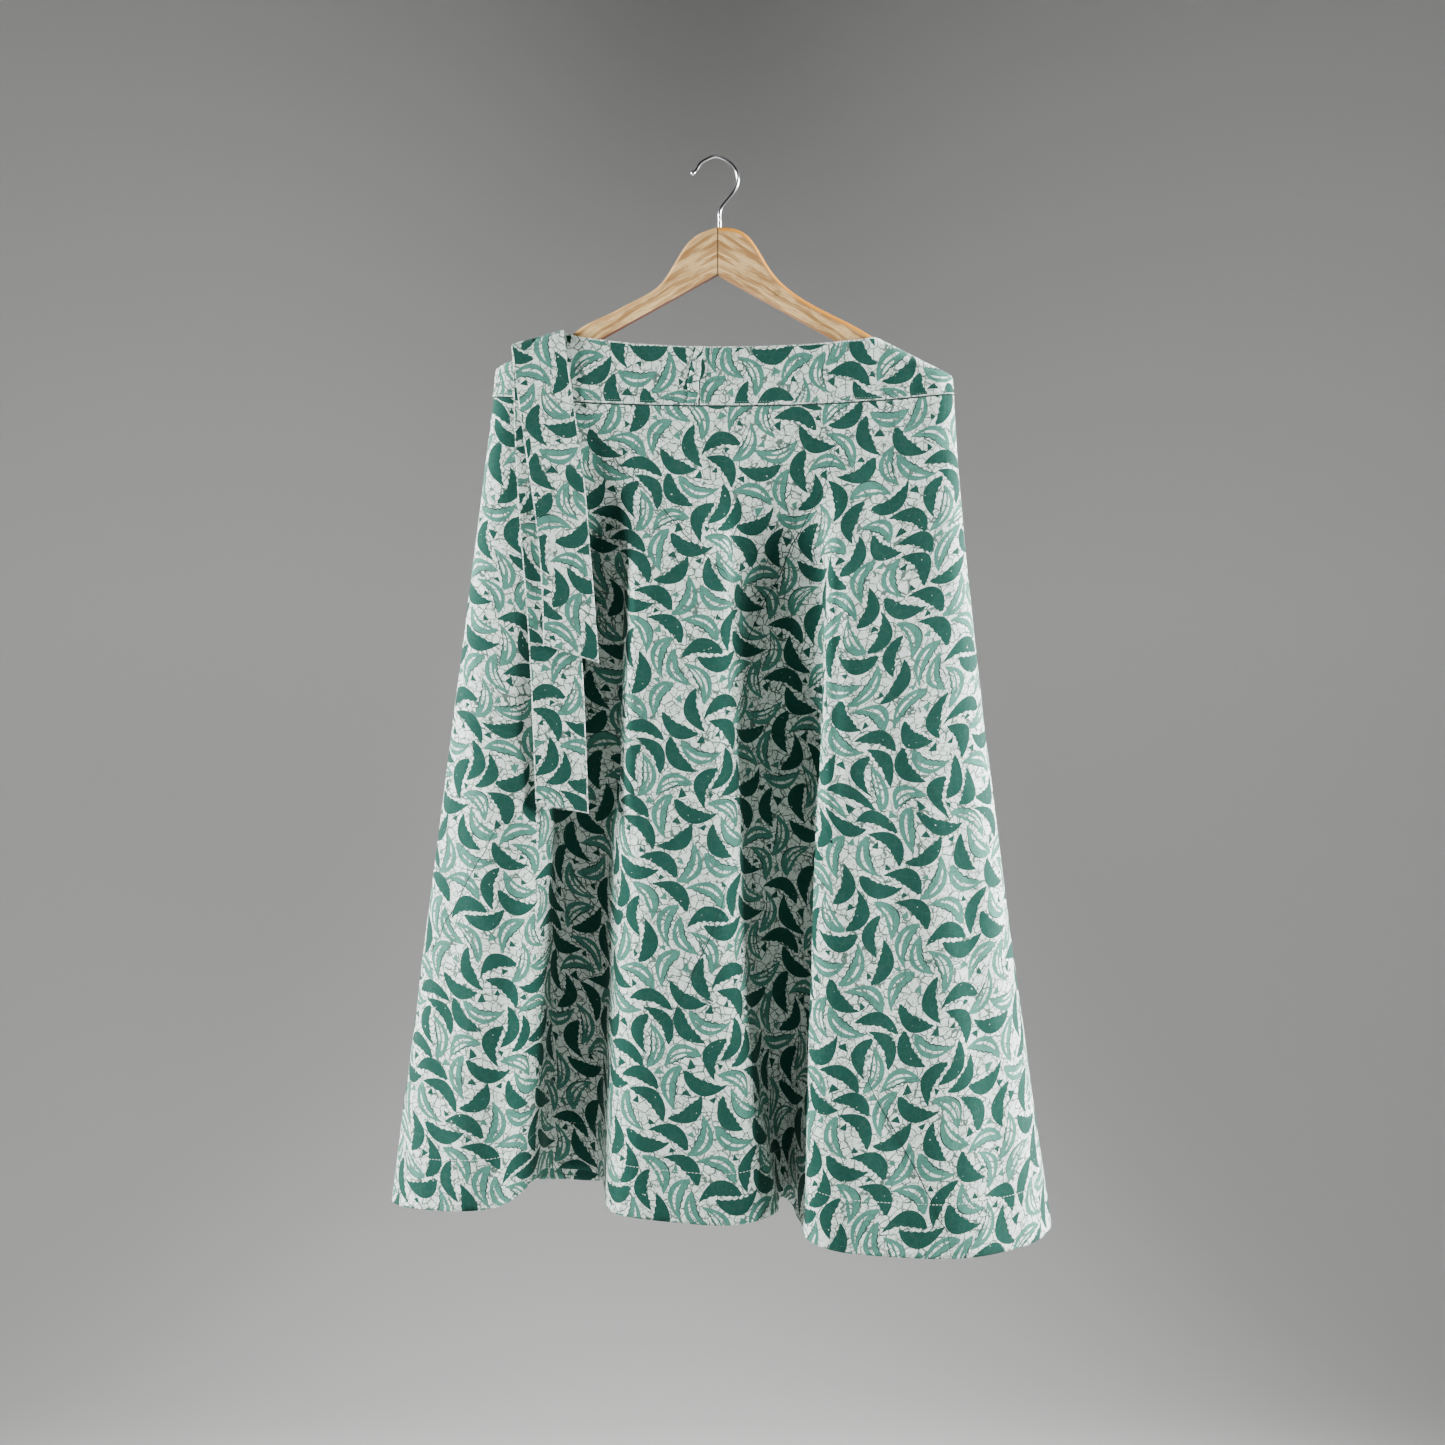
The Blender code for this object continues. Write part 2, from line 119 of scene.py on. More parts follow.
# The two ties: name, z, middle x, width
FRONT_TIE = (
    ("fold", -0.1802, -0.1765, 0.051),
    ("waist", -0.231, -0.17, 0.053),
    ("below waist", -0.312, -0.158, 0.054),
    ("middle", -0.387, -0.149, 0.051),
    ("end", -0.488, -0.1415, 0.055),
)
REAR_TIE = (
    ("fold", -0.1828, -0.177, 0.049),
    ("waist", -0.25, -0.174, 0.051),
    ("below waist", -0.312, -0.171, 0.052),
    ("middle", -0.466, -0.159, 0.052),
    ("end", -0.644, -0.15, 0.052),
)
TIE_SLANT = {"tie_front": -0.018, "tie_rear": -0.01}
TIE_FOLD_SLOPE = 0.27
TIE_STEP = 0.0024
TIE_REACH = 0.034
TIE_ARCH_DROP = 0.007
TIE_BEHIND = (0.02, 0.038)
CAD_CLOTH = 0.0015
SEAM_GAP = 0.0003

# Creases laid one by one: troughs go in, ridges come out.
# x and z at the start, x and z at the end, width, height
FRONT_CREASES = (
    (0.074, -0.47, 0.068, -1.045, 0.026, -0.014),
    (-0.132, -0.48, -0.15, -1.012, 0.034, -0.015),
    (-0.125, -0.322, -0.115, -0.545, 0.017, -0.005),
    (-0.096, -0.372, -0.103, -0.68, 0.011, -0.01),
    (-0.073, -0.366, -0.081, -0.68, 0.011, 0.0085),
    (0.086, -0.32, 0.07, -0.66, 0.03, -0.011),
    (0.101, -0.36, 0.091, -0.68, 0.011, -0.0085),
    (0.122, -0.36, 0.113, -0.7, 0.011, 0.008),
    (0.03, -0.48, 0.022, -0.76, 0.016, 0.0035),
    (-0.02, -0.275, 0.055, -0.4, 0.024, -0.003),
    (-0.075, -0.27, -0.01, -0.44, 0.026, 0.0026),
    (0.16, -0.27, 0.195, -0.48, 0.024, -0.0026),
    (0.105, -0.262, 0.14, -0.35, 0.018, 0.0022),
    (-0.03, -0.56, -0.05, -1.06, 0.028, -0.003),
    (0.172, -0.54, 0.19, -1.08, 0.026, -0.0034),
    (0.236, -0.64, 0.285, -1.08, 0.024, -0.0034),
    (0.14, -0.86, 0.128, -1.08, 0.02, 0.0026),
    (-0.246, -0.56, -0.268, -1.05, 0.024, -0.0032),
    (-0.2, -0.7, -0.214, -1.05, 0.02, 0.0028),
    (-0.176, -0.43, -0.186, -0.62, 0.014, -0.002),
    (-0.135, -0.267, 0.035, -0.452, 0.008, -0.0012),
    (0.133, -0.883, 0.232, -1.075, 0.008, -0.0012),
    (0.012, -0.252, 0.01, -0.292, 0.006, -0.0009),
    (0.061, -0.252, 0.066, -0.305, 0.006, -0.001),
    (0.137, -0.246, 0.141, -0.3, 0.006, -0.0011),
    (-0.064, -0.252, -0.066, -0.284, 0.006, -0.0009),
    (0.188, -0.243, 0.196, -0.282, 0.006, -0.0009),
)
BACK_CREASES = (
    (-0.026, -0.4, -0.044, -1.034, 0.036, -0.015),
    (0.13, -0.42, 0.168, -1.04, 0.034, -0.013),
    (-0.196, -0.52, -0.262, -1.038, 0.03, -0.01),
    (-0.15, -0.29, -0.172, -0.7, 0.02, 0.004),
    (-0.04, -0.29, -0.03, -0.76, 0.022, -0.005),
    (0.052, -0.3, 0.06, -0.64, 0.02, 0.004),
    (0.118, -0.3, 0.14, -0.72, 0.02, -0.0045),
    (0.2, -0.33, 0.236, -0.9, 0.022, 0.0036),
    (-0.1, -0.56, -0.128, -1.03, 0.026, -0.0034),
    (0.02, -0.62, 0.012, -1.03, 0.024, 0.003),
    (0.16, -0.27, 0.08, -0.42, 0.024, -0.0026),
    (-0.06, -0.262, -0.12, -0.4, 0.024, -0.0026),
    (-0.236, -0.62, -0.27, -1.035, 0.022, -0.0032),
    (0.246, -0.7, 0.29, -1.05, 0.024, -0.003),
)
CREASE_EASE = 0.22
RUMPLE = 0.00035
RUMPLE_WAVES = 14
HEM_LENGTH = 1.15
WAIST_LENGTH = 0.46
DROP = 0.8

# How much nearness to the eye counts when a place is looked up by x and z
TOWARDS_EYE = 0.15

# Long thin lines where the wax cracked: x and z at the start and at the end
LONG_CRACKS = (
    (-0.135, -0.267, 0.035, -0.452),
    (0.133, -0.883, 0.232, -1.08),
    (0.02, -0.52, 0.12, -0.3),
    (-0.29, -0.82, -0.19, -0.64),
    (-0.06, -0.9, 0.02, -0.7),
)

# The print
REPEAT = np.array((0.305, 0.264))
LEAF_SPACING = 0.0293
LEAF_TURN = math.radians(68)
LEAF_LENGTH = (0.04, 0.046)
LEAF_WIDTH = (0.0135, 0.016)
LEAF_CAMBER = (0.0076, 0.0106)
LEAF_CLEAR = 0.0012
PUSHES = 180
SHRINK_AFTER = 120
LEAST_LENGTH = 0.0365
LEAST_WIDTH = 0.0118
FILLER_TRIES = 2200
FILLER_ROOM = 0.0043
FILLER_APART = 0.017
FILLER_LARGEST = 0.0066
TEETH = 0.00105
GRID_STEP = 0.0072
ROW_STEP = 0.866
INKS = ("ground", "light", "dark", "line")

# Where each piece was cut from the printed cloth
PRINT_SHIFTS = (
    ("skirt_front", (0.05, 0.02)), ("skirt_under", (0.2, 0.11)), ("skirt_back", (0.13, 0.21)),
    ("band_front", (0.02, 0.16)), ("band_under", (0.27, 0.05)), ("band_back", (0.22, 0.24)),
)
LAP_SHIFT = (0.06, 0.21)
TIES = (
    ("tie_rear", REAR_TIE, 0.0, (0.09, 0.03)), ("tie_front", FRONT_TIE, 1.0, (0.24, 0.17)),
)

# Strips of one ink along the cut edges: ink, edge, width
RIMS = {
    # The skirt's dark strip along its top edge is painted shade under the waist seam.
    "skirt": (("line", "top", 0.0012),),
    "band": (("ground", "top", 0.0012), ("ground", "bottom", 0.0016)),
    # The lap's pale strip down its right edge is a painted highlight on its folded edge.
    "lap": (("ground", "right", 0.0014), ("ground", "top", 0.0016)),
    "tie": tuple(("ground", edge, 0.0011) for edge in ("left", "right", "bottom")),
}

# Rows of stitches: name, panel, slot, height over the edge, pitch, length, width, thickness
STITCH_ROWS = (
    ("band_stitches_", "band_", "band_print", 0.0035, 0.0029, 0.0019, 0.0006, 0.00045),
    ("hem_stitches_", "skirt_", "leaf_print", 0.049, 0.0036, 0.0024, 0.0005, 0.00025),
)

# The folded end of the band, on its front near the middle: x at the waist seam
LAP_STRIP_X = (-0.031, -0.016)
LAP_STRIP_STEP = 0.0019

# The hanger's two arms, from the middle seam to their tips: distance from the middle, top z
MIDDLE_X = 0.0027
LEFT_ARM = (
    (0.0002, -0.0695), (0.017, -0.0755), (0.0335, -0.09), (0.043, -0.1055),
    (0.0545, -0.1235), (0.067, -0.1345), (0.085, -0.144), (0.11, -0.157),
    (0.133, -0.168), (0.154, -0.1828), (0.198, -0.205), (0.207, -0.2105),
)
RIGHT_ARM = (
    (0.0002, -0.0695), (0.017, -0.071), (0.0335, -0.082), (0.043, -0.0965),
    (0.0525, -0.112), (0.0655, -0.1268), (0.0845, -0.141), (0.113, -0.1565),
    (0.1385, -0.1695), (0.1625, -0.1835), (0.208, -0.207), (0.219, -0.214),
)
ARM_HALF = 0.0065
ARM_TIP_HALF = 0.005
UNDERSIDE_APEX = -0.118
UNDERSIDE_SLOPE = 0.556
ARM_TIP_ROUND = 0.01
ARM_SQUARE = 3.2
ARM_SIDES = 48
KNOT = (0.0593, -0.136)

# side, facing, stations, the top edge's colour (amber lacquer brightened as a painted highlight) and
# the strength of the painted light there, the underside's painted shade colour
ARMS = (
    ("left", -1, LEFT_ARM, (0.62, 0.36, 0.13), 0.5, (0.075, 0.028, 0.018)),
    ("right", 1, RIGHT_ARM, (0.6, 0.25, 0.025), 1.0, (0.3, 0.15, 0.06)),
)

# The wire hook, from its ball tip over the top and down into the wood: x, z
HOOK_WIRE = 0.0017
HOOK_BALL = 0.0026
HOOK_SIDES = 20
HOOK_ROUTE = (
    (-0.0244, -0.0163), (-0.0196, -0.0131), (-0.015, -0.006), (-0.0075, -0.001),
    (0.0005, 0.0017), (0.009, -0.001), (0.0165, -0.0062), (0.0228, -0.019),
    (0.02, -0.0315), (0.0105, -0.044), (0.0047, -0.054), (0.0046, -0.06),
    (0.0046, -0.0698),
)

# Camera: in front, at the height of the picture's middle
CAMERA = (0.0075, -2.4, -0.5645)
PICTURE_WIDTH = 1.445
SENSOR = 36.0
FLOOR_Z = -1.85
FLOOR_HALF = 7.0
WALL_START = 2.0
WALL_BEND = 1.6
WALL_HEIGHT = 6.0
WORLD_COLOUR = (0.8, 0.82, 0.85, 1.0)
WORLD_STRENGTH = 0.012
LIGHT_AIM = Vector((0.0, 0.0, -0.62))
LIGHT_SPREAD = math.radians(105)
# name, place, size, power
LIGHTS = (
    ("left_light", (-2.5, -0.6, 0.00), 0.8, 84.0),
    ("right_light", (2.6, -0.46, -0.1), 0.8, 108.0),
    ("top_light", (0.2, -1.6, 1.9), 1.2, 1.5),
    ("back_left_light", (-2.45, 0.75, 0.2), 0.8, 20.0),
    ("back_right_light", (2.5, 0.8, 0.1), 0.8, 58.0),
)


def spline(knots, values, at, period=None):
    """A cubic curve through values at knots: natural at its ends, or closed with a period."""
    knots = np.asarray(knots, float)
    values = np.asarray(values, float)
    at = np.asarray(at, float)
    if period:
        turns = np.arange(-1, 2)[:, None] * period
        knots = (knots[None] + turns).ravel()
        values = np.concatenate([values, values, values])
        at = np.mod(at, period)
    gaps = np.diff(knots)
    count = len(knots)
    system = np.eye(count)
    right = np.zeros(values.shape)
    slopes = np.diff(values, axis=0) / gaps.reshape((-1,) + (1,) * (values.ndim - 1))
    for i in range(1, count - 1):
        system[i, i - 1:i + 2] = gaps[i - 1], 2 * (gaps[i - 1] + gaps[i]), gaps[i]
        right[i] = 6 * (slopes[i] - slopes[i - 1])
    bends = np.linalg.solve(system, right.reshape(count, -1)).reshape(values.shape)
    k = np.clip(np.searchsorted(knots, at, side="right") - 1, 0, count - 2)
    shape = (-1,) + (1,) * (values.ndim - 1)
    span = gaps[k].reshape(shape)
    b = (at - knots[k]).reshape(shape)
    a = span - b
    ends = (bends[k] * a ** 3 + bends[k + 1] * b ** 3) / (6 * span)
    left = (values[k] / span - bends[k] * span / 6) * a
    return ends + left + (values[k + 1] / span - bends[k + 1] * span / 6) * b


def column(rows, index):
    return np.array([row[index] for row in rows], float)


def lengths_along(points):
    """How far along a line each of its points lies."""
    steps = np.linalg.norm(np.diff(points, axis=0), axis=1)
    return np.concatenate([[0.0], np.cumsum(steps)])


def smooth(t):
    t = np.clip(t, 0, 1)
    return t * t * (3 - 2 * t)


def station_knots():
    """q of each station: its share of the way round the hem, from 0 to 1 in front, to 2 behind."""
    rows = FRONT_STATIONS + BACK_STATIONS
    hem = np.stack([column(rows, 2), column(rows, 3)], axis=1)
    along = lengths_along(np.concatenate([hem, hem[:1]]))
    half = along[len(FRONT_STATIONS)]
    front = along[:len(FRONT_STATIONS)] / half
    back = 1 + (along[len(FRONT_STATIONS):-1] - half) / (along[-1] - half)
    return np.concatenate([front, back])


def band_ring(level):
    """The stations' places on the waistband, from level 0 at its top to 1 at its seam."""
    heights = np.linspace(0, 1, len(BAND_LEVELS))
    left, right, left_z, right_z, middle_z, deep = (
        np.interp(level, heights, column(BAND_LEVELS, i)) for i in range(1, 7)
    )
    waist = np.concatenate([column(FRONT_STATIONS, 1), column(BACK_STATIONS, 1)])
    share = (waist - waist.min()) / (waist.max() - waist.min())
    side = 2 * share - 1
    x = left + share * (right - left)
    facing = np.where(np.arange(len(waist)) < len(FRONT_STATIONS), -1.0, 1.0)
    y = facing * deep * (1 - np.abs(side) ** BAND_ROUND) ** (1 / BAND_ROUND)
    side_z = np.where(side < 0, left_z, right_z)
    z = middle_z + (side_z - middle_z) * np.abs(side) ** 2.2
    return np.stack([x, y, z], axis=1)


def skirt_ring(fall):
    """The stations' places on the skirt, from fall 0 at the waist seam to 1 at the hem."""
    rows = FRONT_STATIONS + BACK_STATIONS
    waist = band_ring(1.0)
    x = waist[:, 0] + (column(rows, 2) - waist[:, 0]) * fall ** column(rows, 5)
    y = waist[:, 1] + (column(rows, 3) - waist[:, 1]) * fall ** FLARE
    z = waist[:, 2] + (column(rows, 4) - waist[:, 2]) * fall
    return np.stack([x, y, z], axis=1)


def lap_lift(q):
    """How far the outer front lies outside the layer below it: level with it at the right side."""
    return LAP_LIFT * smooth((1.0 - np.asarray(q)) / LAP_RAMP)


# Cloth as a fine grid, with its lengths along and down


def outward(points):
    out = np.cross(np.gradient(points, axis=0), np.gradient(points, axis=1))
    return out / np.linalg.norm(out, axis=2, keepdims=True)


def crease_places():
    """The creases' ends as q and fall, at the outermost cloth seen from their side."""
    q = np.linspace(-0.04, 1.96, 801)
    falls = np.linspace(0, 1, 81)
    knots = station_knots()
    grid = np.stack([spline(knots, skirt_ring(fall), q, period=2.0) for fall in falls])
    placed = []
    sides = [(-1.0, row) for row in FRONT_CREASES] + [(1.0, row) for row in BACK_CREASES]
    for facing, (x0, z0, x1, z1, width, height) in sides:
        ends = []
        for x, z in ((x0, z0), (x1, z1)):
            nearer = TOWARDS_EYE * facing * grid[..., 1]
            far = np.hypot(grid[..., 0] - x, grid[..., 2] - z) - nearer
            row, place = np.unravel_index(np.argmin(far), far.shape)
            ends.append((q[place], falls[row]))
        placed.append((ends[0], ends[1], width, height))
    return placed


def relief(q, falls, creases):
    """How far the cloth stands out from its even surface, one row for each fall."""
    fall = np.asarray(falls)[:, None]
    scale = WAIST_LENGTH + (HEM_LENGTH - WAIST_LENGTH) * fall
    out = np.zeros((len(falls), len(q)))
    for (q0, f0), (q1, f1), width, height in creases:
        u = (np.mod(q - q0 + 1, 2) - 1) * scale
        v = (fall - f0) * DROP
        along_u = (q1 - q0) * scale
        along_v = (f1 - f0) * DROP
        t = np.clip((u * along_u + v * along_v) / (along_u ** 2 + along_v ** 2), 0, 1)
        far = np.hypot(u - t * along_u, v - t * along_v)
        ease = smooth(t / CREASE_EASE)
        if f1 < 0.97:
            ease = ease * smooth((1 - t) / CREASE_EASE)
        out += height * ease * np.exp(-(far / width) ** 2)
    rumple = np.zeros_like(out)
    rng = np.random.default_rng(SEED + 3)
    for _ in range(RUMPLE_WAVES):
        way = rng.uniform(0, 2 * math.pi)
        size = rng.uniform(60, 150)
        turns = size * (np.cos(way) * q * HEM_LENGTH + 0.6 * np.sin(way) * fall * DROP)
        rumple += np.sin(turns + rng.uniform(0, 6.28))
    out -= RUMPLE * (1 + np.clip(rumple / 5, -1, 1))
    return out * smooth(fall / 0.05)


def ring_grid(q, levels, ring, lift, creases=None):
    """A grid of the closed surface between two columns, moved outward by lift and creases."""
    knots = station_knots()
    points = np.stack([spline(knots, ring(level), q, period=2.0) for level in levels])
    rise = np.broadcast_to(np.asarray(lift).reshape(1, -1), points.shape[:2])
    if creases:
        rise = rise + relief(q, levels, creases)
    return points + outward(points) * rise[..., None]


class Cloth:
    """A grid of points with its flat measures: s along each row, w down the middle column."""

    def __init__(self, points):
        self.points = points
        self.out = outward(points)
        steps = np.linalg.norm(np.diff(points, axis=1), axis=2)
        along = np.concatenate([np.zeros((len(points), 1)), np.cumsum(steps, axis=1)], axis=1)
        middle = points.shape[1] // 2
        self.s = along - along[:, middle:middle + 1]
        self.w = lengths_along(points[:, middle])

    def side(self, end, step=0.006):
        """Flat points down one side of the cut: end 0 is the left side, -1 the right."""
        down = np.linspace(0, self.w[-1], max(4, int(self.w[-1] / step)))
        return np.stack([np.interp(down, self.w, self.s[:, end]), down], axis=1)

    def level(self, w, step=0.006):
        """Flat points across the cut at one height."""
        left = np.interp(w, self.w, self.s[:, 0])
        right = np.interp(w, self.w, self.s[:, -1])
        across = np.linspace(left, right, max(4, int((right - left) / step)))
        return np.stack([across, np.full_like(across, w)], axis=1)

    def outline(self):
        """The flat cut's edge: down the left, along the bottom, up the right, back along the top."""
        parts = [self.side(0), self.level(self.w[-1])[1:], self.side(-1)[::-1][1:]]
        return np.concatenate(parts + [self.level(0.0)[::-1][1:-1]])

    def rim(self, where, wide):
        """A narrow strip of the flat cut along one of its edges."""
        if where in ("left", "right"):
            edge = self.side(0 if where == "left" else -1)
            inner = edge + np.array([wide if where == "left" else -wide, 0.0])
        else:
            edge = self.level(0.0 if where == "top" else self.w[-1])
            inner = edge + np.array([0.0, wide if where == "top" else -wide])
        return np.concatenate([edge, inner[::-1]])

    def area(self):
        widths = self.s[:, -1] - self.s[:, 0]
        return float(np.sum((widths[1:] + widths[:-1]) / 2 * np.diff(self.w)))

    def flat(self):
        widths = self.s[:, -1] - self.s[:, 0]
        return float(widths.max()), float(self.w[-1])

    def nearest(self, x, z):
        """The flat place of a point seen from the front."""
        far = np.hypot(self.points[..., 0] - x, self.points[..., 2] - z)
        far += TOWARDS_EYE * self.points[..., 1]
        row, place = np.unravel_index(np.argmin(far), far.shape)
        return np.array([self.s[row, place], self.w[row]])

    def place(self, s, w, lift=0.0):
        """The points in space of flat places, lift metres out from the middle of the cloth."""
        rows, columns = self.s.shape
        r = np.clip(np.interp(w, self.w, np.arange(rows)), 0, rows - 1)
        r0 = np.minimum(r.astype(int), rows - 2)
        part = r - r0
        at = np.zeros((2, len(s)))
        numbers = np.arange(columns)
        for row in np.unique(r0):
            pick = r0 == row
            at[0, pick] = np.interp(s[pick], self.s[row], numbers)
            at[1, pick] = np.interp(s[pick], self.s[row + 1], numbers)
        c = np.clip(at[0] * (1 - part) + at[1] * part, 0, columns - 1)
        c0 = np.minimum(c.astype(int), columns - 2)
        a = (c - c0)[:, None]
        b = part[:, None]

        def blend(table):
            upper = table[r0, c0] * (1 - a) + table[r0, c0 + 1] * a
            lower = table[r0 + 1, c0] * (1 - a) + table[r0 + 1, c0 + 1] * a
            return upper * (1 - b) + lower * b

        out = blend(self.out)
        out /= np.linalg.norm(out, axis=1, keepdims=True)
        return blend(self.points) + out * np.broadcast_to(lift, (len(s),))[:, None]


# The print: crescent leaves in loose swirls


def wrapped(gap):
    """The gap between two places of the print, the short way round its repeat."""
    return (gap + REPEAT / 2) % REPEAT - REPEAT / 2


def closed(out, back):
    """A closed outline: along one line and back along another with the same two ends."""
    return np.concatenate([out, back[-2:0:-1]])


def leaf_layout():
    """Leaves of one repeat: places, turns and kinds, pushed apart until none overlaps."""
    rng = np.random.default_rng(SEED)
    across = int(round(REPEAT[0] / LEAF_SPACING))
    rows = 2 * int(round(REPEAT[1] / (LEAF_SPACING * ROW_STEP) / 2))
    spots = np.array([
        ((i + 0.5 * (j % 2)) * REPEAT[0] / across, j * REPEAT[1] / rows)
        for j in range(rows) for i in range(across)
    ])
    count = len(spots)
    eyes = spots[::7] + rng.normal(0, 0.006, (len(spots[::7]), 2))
    spots = spots + rng.normal(0, 0.0025, (count, 2))
    gap = wrapped(spots[:, None] - eyes[None])
    around = gap[np.arange(count), np.argmin((gap ** 2).sum(2), axis=1)]
    turn = np.arctan2(around[:, 1], around[:, 0]) + LEAF_TURN + rng.normal(0, 0.30, count)
    length = rng.uniform(*LEAF_LENGTH, count)
    width = rng.uniform(*LEAF_WIDTH, count)
    camber = rng.uniform(*LEAF_CAMBER, count) * np.where(rng.random(count) < 0.12, -1, 1)
    stops = np.array([-0.86, -0.56, -0.20, 0.20, 0.56, 0.86])
    spread = np.array([0.20, 0.38, 0.47, 0.47, 0.38, 0.20])
    owner = np.repeat(np.arange(count), len(stops))
    same = owner[:, None] == owner[None]
    for step in range(PUSHES):
        c, s = np.cos(turn), np.sin(turn)
        lx = stops * length[:, None] / 2
        ly = camber[:, None] * (0.55 - stops ** 2)
        disc = np.stack([
            (spots[:, :1] + lx * c[:, None] - ly * s[:, None]).ravel(),
            (spots[:, 1:] + lx * s[:, None] + ly * c[:, None]).ravel(),
        ], axis=1)
        reach = (spread * width[:, None] + LEAF_CLEAR).ravel()
        away = wrapped(disc[:, None] - disc[None])
        far = np.sqrt((away ** 2).sum(2)) + 1e-9
        bite = np.maximum(reach[:, None] + reach[None] - far, 0)
        bite[same] = 0
        push = (away / far[..., None] * bite[..., None]).sum(1) * 0.22
        arm = disc - np.repeat(spots, len(stops), axis=0)
        twist = arm[:, 0] * push[:, 1] - arm[:, 1] * push[:, 0]
        for axis in (0, 1):
            spots[:, axis] += np.bincount(owner, push[:, axis], count)
        turn += np.bincount(owner, twist, count) / 0.0010
        if step > SHRINK_AFTER:
            crowd = np.bincount(owner, bite.sum(1), count) > 0.0006
            length = np.where(crowd & (length > LEAST_LENGTH), length * 0.993, length)
            width = np.where(crowd & (width > LEAST_WIDTH), width * 0.990, width)
    kinds = []
    for k in range(count):
        near = np.linalg.norm(wrapped(spots[:k] - spots[k]), axis=1) < 0.036
        dark = sum(kinds[i] == "dark" for i in np.nonzero(near)[0])
        kinds.append("dark" if rng.random() < 0.52 + 0.30 * (near.sum() / 2 - dark) else "light")
    skew = rng.uniform(-0.30, 0.30, count)
    phase = rng.uniform(0, 6.28, count)
    return list(zip(spots, turn, length, width, camber, skew, kinds, phase))


def leaf_shapes(leaf):
    """The outlines of one leaf in its repeat: [(ink, closed outline)], the top one last."""
    spot, turn, length, width, camber, skew, kind, phase = leaf
    u = np.linspace(-1, 1, 15)
    x = u * length / 2
    middle = camber * (0.55 - u * u)
    blunt = np.sqrt(np.clip(1 - np.abs(u) ** 2.4, 0, 1))
    pointed = np.clip(1 - np.abs(u) ** 1.7, 0, 1) ** 0.85
    body = np.where(u < 0, blunt, pointed) * (1 + skew * u)
    bite = 0.55 + 0.45 * np.sin(phase * 7 + 2.3 * np.arange(15))
    teeth = TEETH * (-1.0) ** np.arange(15) * (np.abs(u) < 0.84) * bite
    back_share = 0.56 if camber > 0 else 0.44
    back = middle + width * back_share * body - teeth * (camber < 0)
    front = middle - width * (1 - back_share) * body + teeth * (camber > 0)
    shapes = [(kind, closed(np.stack([x, back], 1), np.stack([x, front], 1)))]
    if kind == "light":
        inner = np.stack([x, front + 0.0012 * (1 - u ** 2)], 1)
        shapes.append(("line", closed(np.stack([x, front], 1), inner)))
        slits = ((0.12, -0.66, 0.58), (-0.20, -0.30, 0.66))[:1 + (phase > 3.6)]
        for share, start, end in slits:
            v = np.linspace(start, end, 8)
            slit = np.interp(v, u, middle + width * share * body)
            half = 0.0014 * np.sqrt(np.clip(1 - np.linspace(-1, 1, 8) ** 2, 0, 1))
            top = np.stack([v * length / 2, slit + half], 1)
            low = np.stack([v * length / 2, slit - half], 1)
            shapes.append(("ground", closed(top, low)))
    c, s = math.cos(turn), math.sin(turn)
    spin = np.array([[c, s], [-s, c]])
    return [(ink, np.asarray(spot) + shape @ spin) for ink, shape in shapes]


def inside(points, outline):
    """Which points lie inside a closed outline."""
    x, y = points[:, 0], points[:, 1]
    result = np.zeros(len(points), bool)
    ends = np.roll(outline, -1, axis=0)
    for (x0, y0), (x1, y1) in zip(outline, ends):
        crosses = (y0 > y) != (y1 > y)
        if y1 != y0:
            result ^= crosses & (x < (x1 - x0) * (y - y0) / (y1 - y0) + x0)
    return result


def filler_shapes(leaves):
    """Small dark three-cornered bits in the widest gaps of the repeat."""
    rng = np.random.default_rng(SEED + 1)
    outlines = [leaf_shapes(leaf)[0][1] for leaf in leaves]
    marks = np.concatenate(outlines)
    tries = rng.random((FILLER_TRIES, 2)) * REPEAT
    covered = np.zeros(len(tries), bool)
    for outline in outlines:
        for i in (-1, 0, 1):
            for j in (-1, 0, 1):
                covered |= inside(tries, outline + REPEAT * (i, j))
    taken = np.zeros((0, 2))
    shapes = []
    for spot in tries[~covered]:
        room = np.sqrt((wrapped(marks - spot) ** 2).sum(1)).min()
        apart = np.sqrt((wrapped(taken - spot) ** 2).sum(1))
        if room < FILLER_ROOM or (len(taken) and apart.min() < FILLER_APART):
            continue
        taken = np.concatenate([taken, [spot]])
        reach = min(room - 0.0004, FILLER_LARGEST)
        turn = rng.uniform(0, 6.28)
        angles = turn + np.array([0.0, 0.7, 2.2, 3.0, 4.1, 5.2])
        radii = reach * np.array([1.0, 0.50, 0.72, 0.55, 1.05, 0.46])
        ink = "dark" if rng.random() < 0.75 else "light"
        corners = np.stack([np.cos(angles) * radii, np.sin(angles) * radii], axis=1)
        shapes.append((ink, spot + corners))
    return shapes


def crack_shapes(cloth):
    """The long wax cracks as thin wavering outlines on the flat cut of the front."""
    rng = np.random.default_rng(SEED + 5)
    shapes = []
    for x0, z0, x1, z1 in LONG_CRACKS:
        start = cloth.nearest(x0, z0)
        end = cloth.nearest(x1, z1)
        t = np.linspace(0, 1, 16)[:, None]
        across = np.array([start[1] - end[1], end[0] - start[0]])
        across /= np.linalg.norm(across)
        line = start + (end - start) * t + across * rng.normal(0, 0.0012, (16, 1))
        half = 0.00050 * np.sqrt(np.sin(np.pi * np.clip(t, 0.02, 0.98)))
        sides = [line + across * half, (line - across * half)[::-1]]
        shapes.append(("line", np.concatenate(sides)))
    return shapes


def fold_shadow(cloth):
    """The dark line on the band beside its folded end."""
    high = cloth.nearest(LAP_STRIP_X[1] + 0.0011, -0.1905)
    low = cloth.nearest(LAP_STRIP_X[1] + 0.0002, -0.2480)
    half = np.array([0.00085, 0.0])
    return np.array([high - half, low - half, low + half, high + half])


